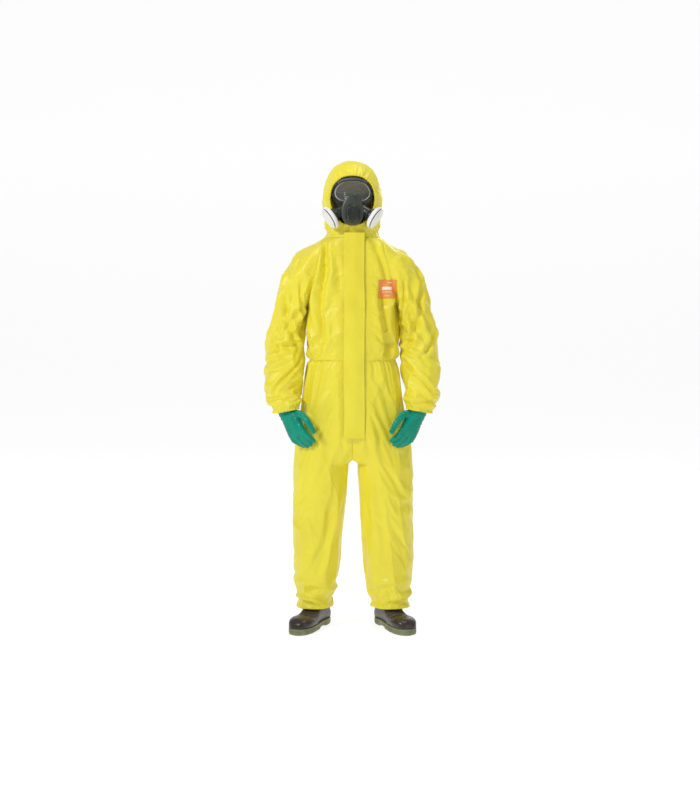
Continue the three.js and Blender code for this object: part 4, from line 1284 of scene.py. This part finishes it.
def make_filters():
    for side, sign in SIDES.items():
        centre = Vector((FILTER_AT.x * sign, FILTER_AT.y, FILTER_AT.z))
        axis = Vector((FILTER_OUT.x * sign, FILTER_OUT.y, FILTER_OUT.z))
        can = [(0.0, -0.0100), (0.0375, -0.0100), (0.0385, -0.0094), (0.0385, -0.0078), (0.0425, -0.0060),
               (0.0446, -0.0040), (0.0450, -0.0015), (0.0450, 0.0030), (0.0444, 0.0050), (0.0430, 0.0060),
               (0.0405, 0.0062), (0.0400, 0.0055), (0.0, 0.0055)]
        can = turned(f"filter_can_{side}", can, centre, axis, around=96,
                     ripple=lambda angle, r, h: 0.006 * math.cos(angle * 36) if r > 0.0445 and h < 0 else 0)
        dress(can, "filter_white", nodes=[f"filter_body_{side}"], body=f"filter_{side}")
        band = [(0.0, 0.0060), (0.0398, 0.0060), (0.0404, 0.0068), (0.0404, 0.0092), (0.0398, 0.0098), (0.0, 0.0098)]
        dress(turned(f"filter_gap_{side}", band, centre, axis, around=72), "filter_white", "mask_rubber",
              body=f"filter_{side}")
        rings = [(0.0, 0.0138), (0.008, 0.0137)]
        for i in range(6):
            r = 0.010 + i * 0.0046
            fall = 0.00012 * i
            rings += [(r, 0.0137 - fall), (r + 0.0016, 0.0129 - fall), (r + 0.0030, 0.0137 - fall)]
        rings += [(0.0405, 0.0124), (0.0418, 0.0112), (0.0418, 0.0100), (0.0400, 0.0096), (0.0, 0.0096)]
        pad = turned(f"filter_cover_{side}", rings, centre, axis, around=96)
        dress(pad, "filter_white", nodes=[f"filter_pad_{side}"], body=f"filter_{side}")
        low = 0.0104
        port = [(0.0, -low), (0.0255, -low), (0.0268, -low - 0.0015), (0.0268, -low - 0.0095), (0.0250, -low - 0.0118),
                (0.0205, -low - 0.0135), (0.0190, -low - 0.0160), (0.0205, -low - 0.020), (0.0190, -low - 0.023),
                (0.0205, -low - 0.027), (0.0195, -low - 0.030), (0.0200, -low - 0.054), (0.0, -low - 0.054)]
        grip = turned(f"filter_mount_{side}", port, centre, axis, around=72,
                      ripple=lambda angle, r, h: 0.02 * math.cos(angle * 18) if r > 0.026 else 0)
        dress(grip, "black_plastic", nodes=[f"inhalation_port_{side}"], body="head")


# ---- Gloves ---------------------------------------------------------------------------------------

ROD_AROUND = 20


def rod(points, radii):
    """A round-ended rod through a list of points, as vertices and faces."""
    path = [np.array(p, float) for p in points]
    made, sizes = [], []
    for i in range(len(path) - 1):
        for k in range(8):
            t = k / 8
            made.append(path[i] * (1 - t) + path[i + 1] * t)
            sizes.append(radii[i] * (1 - t) + radii[i + 1] * t)
    made.append(path[-1])
    sizes.append(radii[-1])
    made = np.array(made)
    for _ in range(3):
        made[1:-1] = (made[:-2] + 2 * made[1:-1] + made[2:]) / 4
    start_dir = (made[0] - made[1]) / np.linalg.norm(made[0] - made[1])
    end_dir = (made[-1] - made[-2]) / np.linalg.norm(made[-1] - made[-2])
    rings = []
    for degrees in (80, 60, 40, 20):
        turn = math.radians(degrees)
        rings.append((made[0] + start_dir * sizes[0] * math.sin(turn), sizes[0] * math.cos(turn), -start_dir))
    for i, point in enumerate(made):
        ahead = made[min(i + 1, len(made) - 1)] - made[max(i - 1, 0)]
        rings.append((point, sizes[i], ahead / np.linalg.norm(ahead)))
    for degrees in (20, 40, 60, 80):
        turn = math.radians(degrees)
        rings.append((made[-1] + end_dir * sizes[-1] * math.sin(turn), sizes[-1] * math.cos(turn), end_dir))
    vertices = []
    for centre, size, direction in rings:
        side = np.cross(direction, [1.0, 0.0, 0.0])
        if np.linalg.norm(side) < 0.2:
            side = np.cross(direction, [0.0, 1.0, 0.0])
        side /= np.linalg.norm(side)
        up = np.cross(direction, side)
        for k in range(ROD_AROUND):
            angle = 2 * math.pi * k / ROD_AROUND
            vertices.append(centre + size * (math.cos(angle) * side + math.sin(angle) * up))
    return vertices, closed_faces(len(rings), ROD_AROUND, ends_flipped=True)


PALM = [  # height, half width, half depth, middle y, power
    (0.062, 0.0360, 0.0350, 0.0, 2.2), (0.0, 0.0355, 0.0335, 0.0, 2.2), (-0.024, 0.0325, 0.0275, 0.0, 2.3),
    (-0.044, 0.0350, 0.0230, 0.001, 2.4), (-0.072, 0.0390, 0.0200, 0.002, 2.5), (-0.100, 0.0395, 0.0170, 0.002, 2.5),
    (-0.115, 0.0370, 0.0125, 0.002, 2.4), (-0.120, 0.028, 0.006, 0.002, 2.2),
]
FINGERS = [(-0.0300, 0.058, 0.55), (-0.0105, 0.064, 0.50), (0.0100, 0.060, 0.60), (0.0285, 0.047, 0.75)]
THUMB = [(-0.022, 0.004, -0.030), (-0.056, 0.000, -0.056), (-0.068, 0.000, -0.094), (-0.066, 0.008, -0.134)]
WRIST_TURN = math.radians(38)  # the hand turns its thumb forward
WRIST_LEAN = math.radians(11)  # and leans towards the thumb's side


def make_glove(side, seed):
    sign = SIDES[side]
    rows = even_rows(PALM, 0.003)
    points = []
    for z, a, b, y, power in rows:
        x, across = oval(64, a, b, power)
        points += list(zip(x, across + y, np.full(64, z)))
    faces = closed_faces(len(rows), 64)
    parts = [(points, faces)]
    for x, length, curl in FINGERS:
        root = (x * 0.92, 0.001, -0.084)
        joint = (x, 0.003, -0.108 - length * 0.22)
        second = (x * 0.97, 0.010 + curl * 0.018, -0.108 - length * 0.56)
        tip = (x * 0.92, 0.020 + curl * 0.036, -0.108 - length * 0.80)
        parts.append(rod([root, joint, second, tip], [0.0116, 0.0114, 0.0106, 0.0096]))
    parts.append(rod(THUMB, [0.0175, 0.0140, 0.0122, 0.0102]))
    all_points, all_faces = [], []
    for part_points, part_faces in parts:
        base = len(all_points)
        all_points += list(part_points)
        all_faces += [tuple(base + i for i in face) for face in part_faces]
    glove = add_mesh(f"work_glove_{side}", all_points, all_faces)
    modify(glove, "REMESH", mode="VOXEL", voxel_size=0.0021)
    modify(glove, "SMOOTH", factor=0.5, iterations=7)
    place = coords(glove)
    z = place[:, 2]
    wrist = (bump(z, -0.030 + 0.004 * np.sin(place[:, 0] * 120), 0.0032) + bump(z, -0.018, 0.003)
             + bump(z, -0.044 + 0.003 * np.sin(place[:, 0] * 90 + 2), 0.003)) * 0.0013
    knuckles = np.sin(z * 620 + place[:, 0] * 60) * bump(z, -0.118, 0.012) * 0.0005
    finger = np.sin(z * 900) * bump(z, -0.150, 0.016) * 0.0004
    fine = crease(soft_noise(place, (0.014, 0.014, 0.010), seed)) * 0.0007
    push_out(glove, wrist + knuckles + finger + fine)
    with edited(glove) as shape:
        cut(shape, (0, 0, 0.055), (0, 0, 1), drop=True)
    modify(glove, "SOLIDIFY", thickness=0.0015)
    place = coords(glove)
    below = ease(-place[:, 2], -0.005, 0.045)
    twist = WRIST_TURN * below
    x = place[:, 0] * np.cos(twist) - place[:, 1] * np.sin(twist)
    y = place[:, 0] * np.sin(twist) + place[:, 1] * np.cos(twist)
    lean = WRIST_LEAN * below
    reach = place[:, 2] + 0.012
    place = np.column_stack([x * np.cos(lean) + reach * np.sin(lean), y,
                             reach * np.cos(lean) - x * np.sin(lean) - 0.012])
    turn = Vector((0, 0, -1)).rotation_difference(HAND_DOWN).to_matrix()
    place = place @ np.array(turn).T + np.array(CUFF)
    place[:, 0] *= sign
    set_coords(glove, place)
    face_outward(glove)
    glove.data.shade_smooth()
    dress(glove, "glove_rubber", nodes=[f"glove_{side}"], body=f"hand_{side}")


# ---- Boots ----------------------------------------------------------------------------------------

FOOT = [  # place along the foot, half width, height of the top
    (0.086, 0.012, 0.040), (0.082, 0.024, 0.052), (0.070, 0.033, 0.070), (0.040, 0.0385, 0.106), (0.000, 0.0400, 0.110),
    (-0.038, 0.0415, 0.094), (-0.058, 0.0435, 0.078), (-0.078, 0.0470, 0.067), (-0.100, 0.0500, 0.062),
    (-0.140, 0.0495, 0.063), (-0.168, 0.0430, 0.058), (-0.184, 0.0310, 0.049), (-0.192, 0.0160, 0.040),
]
SHAFT = [(0.050, 0.030, 0.040, 0.025), (0.090, 0.037, 0.044, 0.022), (0.120, 0.0415, 0.046, 0.019),
         (0.170, 0.048, 0.050, 0.010), (0.240, 0.053, 0.055, 0.006), (0.292, 0.0555, 0.0575, 0.004)]
SOLE = [  # half outline, heel to toe: outer x, inner x, y
    (0.000, 0.000, 0.090), (0.020, -0.020, 0.085), (0.033, -0.033, 0.070), (0.0400, -0.0395, 0.035), (0.0385, -0.0375, 0.000),
    (0.0460, -0.0440, -0.060), (0.0535, -0.0485, -0.105), (0.0510, -0.0470, -0.145), (0.0400, -0.0390, -0.176),
    (0.0220, -0.0230, -0.194), (0.000, 0.000, -0.200),
]
SOLE_TOP = 0.0236
SHAFT_TOP = 0.288
TOE_LINE = -0.118
BOOT_WIDTH = 0.92  # share of the widths in the tables above


def boot_placed(points, sign):
    points = points * (BOOT_WIDTH, 1, 1)
    turned_points = points.copy()
    cos, sin = math.cos(TOE_OUT), math.sin(TOE_OUT)
    turned_points[:, 0] = (points[:, 0] * cos - points[:, 1] * sin + BOOT_AT.x) * sign
    turned_points[:, 1] = points[:, 0] * sin + points[:, 1] * cos + BOOT_AT.y
    return turned_points


def make_boot(side):
    sign = SIDES[side]
    rows = even_rows(FOOT, 0.004)
    points = []
    for y, half, top in rows:
        x, up = oval(56, half, (top - SOLE_TOP + 0.004) / 2, 2.6)
        points += list(zip(x, np.full(56, y), up + (top + SOLE_TOP - 0.004) / 2))
    faces = closed_faces(len(rows), 56)
    base = len(points)
    shaft = even_rows(SHAFT, 0.005)
    for z, a, b, y in shaft:
        x, across = oval(56, a, b, 2.1)
        points += list(zip(x, across + y, np.full(56, z)))
    faces += [tuple(base + i for i in face) for face in closed_faces(len(shaft), 56, ends_flipped=True)]
    boot = add_mesh("boot", points, faces)
    modify(boot, "REMESH", mode="VOXEL", voxel_size=0.003)
    modify(boot, "SMOOTH", factor=0.5, iterations=9)
    face_outward(boot)
    boot.data.shade_smooth()
    place = coords(boot)
    y, z = place[:, 1], place[:, 2]
    flex = np.sin(y * 330) * bump(y, -0.088, 0.022) * ease(z, 0.04, 0.06) * 0.0012
    counter = 0.0014 * ease(0.052 - z, 0.0, 0.003) * ease(y, 0.01, 0.02)
    toe_step = 0.0012 * ease(-y, 0.117, 0.119)
    welt = 0.0020 * bump(z, 0.029, 0.004)
    push_out(boot, flex + counter + toe_step + welt)
    with edited(boot) as shape:
        cut(shape, (0, 0, SOLE_TOP + 0.0004), (0, 0, -1), drop=True)
        cut(shape, (0, 0, SHAFT_TOP), (0, 0, 1), drop=True)
        cut(shape, (0, TOE_LINE, 0), (0, 1, 0))
    upper = keep_faces(boot, f"boot_shell_{side}", lambda c: c.y > TOE_LINE)
    toe = keep_faces(boot, f"boot_toe_cap_{side}", lambda c: c.y <= TOE_LINE)
    bpy.data.objects.remove(boot)
    for piece, slot, material, node in ((upper, "boot_rubber", "boot_instep", "boot_upper"),
                                        (toe, "boot_rubber", "boot_rubber", "toe_guard")):
        modify(piece, "SOLIDIFY", thickness=0.003, offset=-1)
        set_coords(piece, boot_placed(coords(piece), sign))
        face_outward(piece)
        dress(piece, slot, material, nodes=[f"{node}_{side}"], body=f"shin_{side}")

    table = np.array(even_rows(SOLE, 0.004, column=2))
    outline = np.vstack([table[:, [0, 2]], table[::-1, [1, 2]][1:-1]])
    levels = [(0.0, -0.0035), (0.0012, -0.0016), (0.005, -0.0006), (0.0062, 0.0), (0.014, 0.0), (0.0148, -0.0012),
              (0.0158, -0.0012), (0.0166, 0.0002), (0.0222, 0.0), (0.0236, -0.0012)]
    count = len(outline)
    points = []
    for height, grow in levels:
        for i, (x, y) in enumerate(outline):
            outward = np.array([x, y]) - np.array([0, np.clip(y, -0.14, 0.05)])
            size = max(np.linalg.norm(outward), 1e-6)
            ridge = -0.0022 * (1 if height < 0.0145 and (i // 2) % 2 else 0)
            moved = np.array([x, y]) + outward / size * (grow + ridge)
            arch = 0.0075 * float(ease(y, -0.052, -0.040) * (1 - ease(y, 0.004, 0.014)))
            points.append((moved[0], moved[1], max(height, arch)))
    faces = closed_faces(len(levels), count, ends_flipped=True)
    sole = add_mesh(f"boot_sole_{side}", points, faces, smooth=False)
    with edited(sole) as shape:
        bmesh.ops.triangulate(shape, faces=[face for face in shape.faces if len(face.verts) > 4])
    set_coords(sole, boot_placed(coords(sole), sign))
    face_outward(sole)
    dress(sole, "sole_rubber", nodes=[f"outsole_{side}"], body=f"shin_{side}")


# ---- CAD parts that stay --------------------------------------------------------------------------

def dress_frame():
    slots = {row["node"]: row["material_slot"] for row in frame["record"]["subparts"]}
    for name, node in NODES.items():
        material = MATERIALS[slots[name]]
        node.data.materials.clear()
        node.data.materials.append(material)


make_camera()
make_stage()
dress_frame()
make_torso()
for number, name in enumerate(SIDES):
    make_sleeve(name, 31 + 7 * number)
    make_trouser(name, 51 + 7 * number)
    make_glove(name, 71 + 7 * number)
    make_boot(name)
make_hood()
make_flap()
make_waist_band()
make_label()
make_lens()
make_mask()
make_cover()
make_filters()
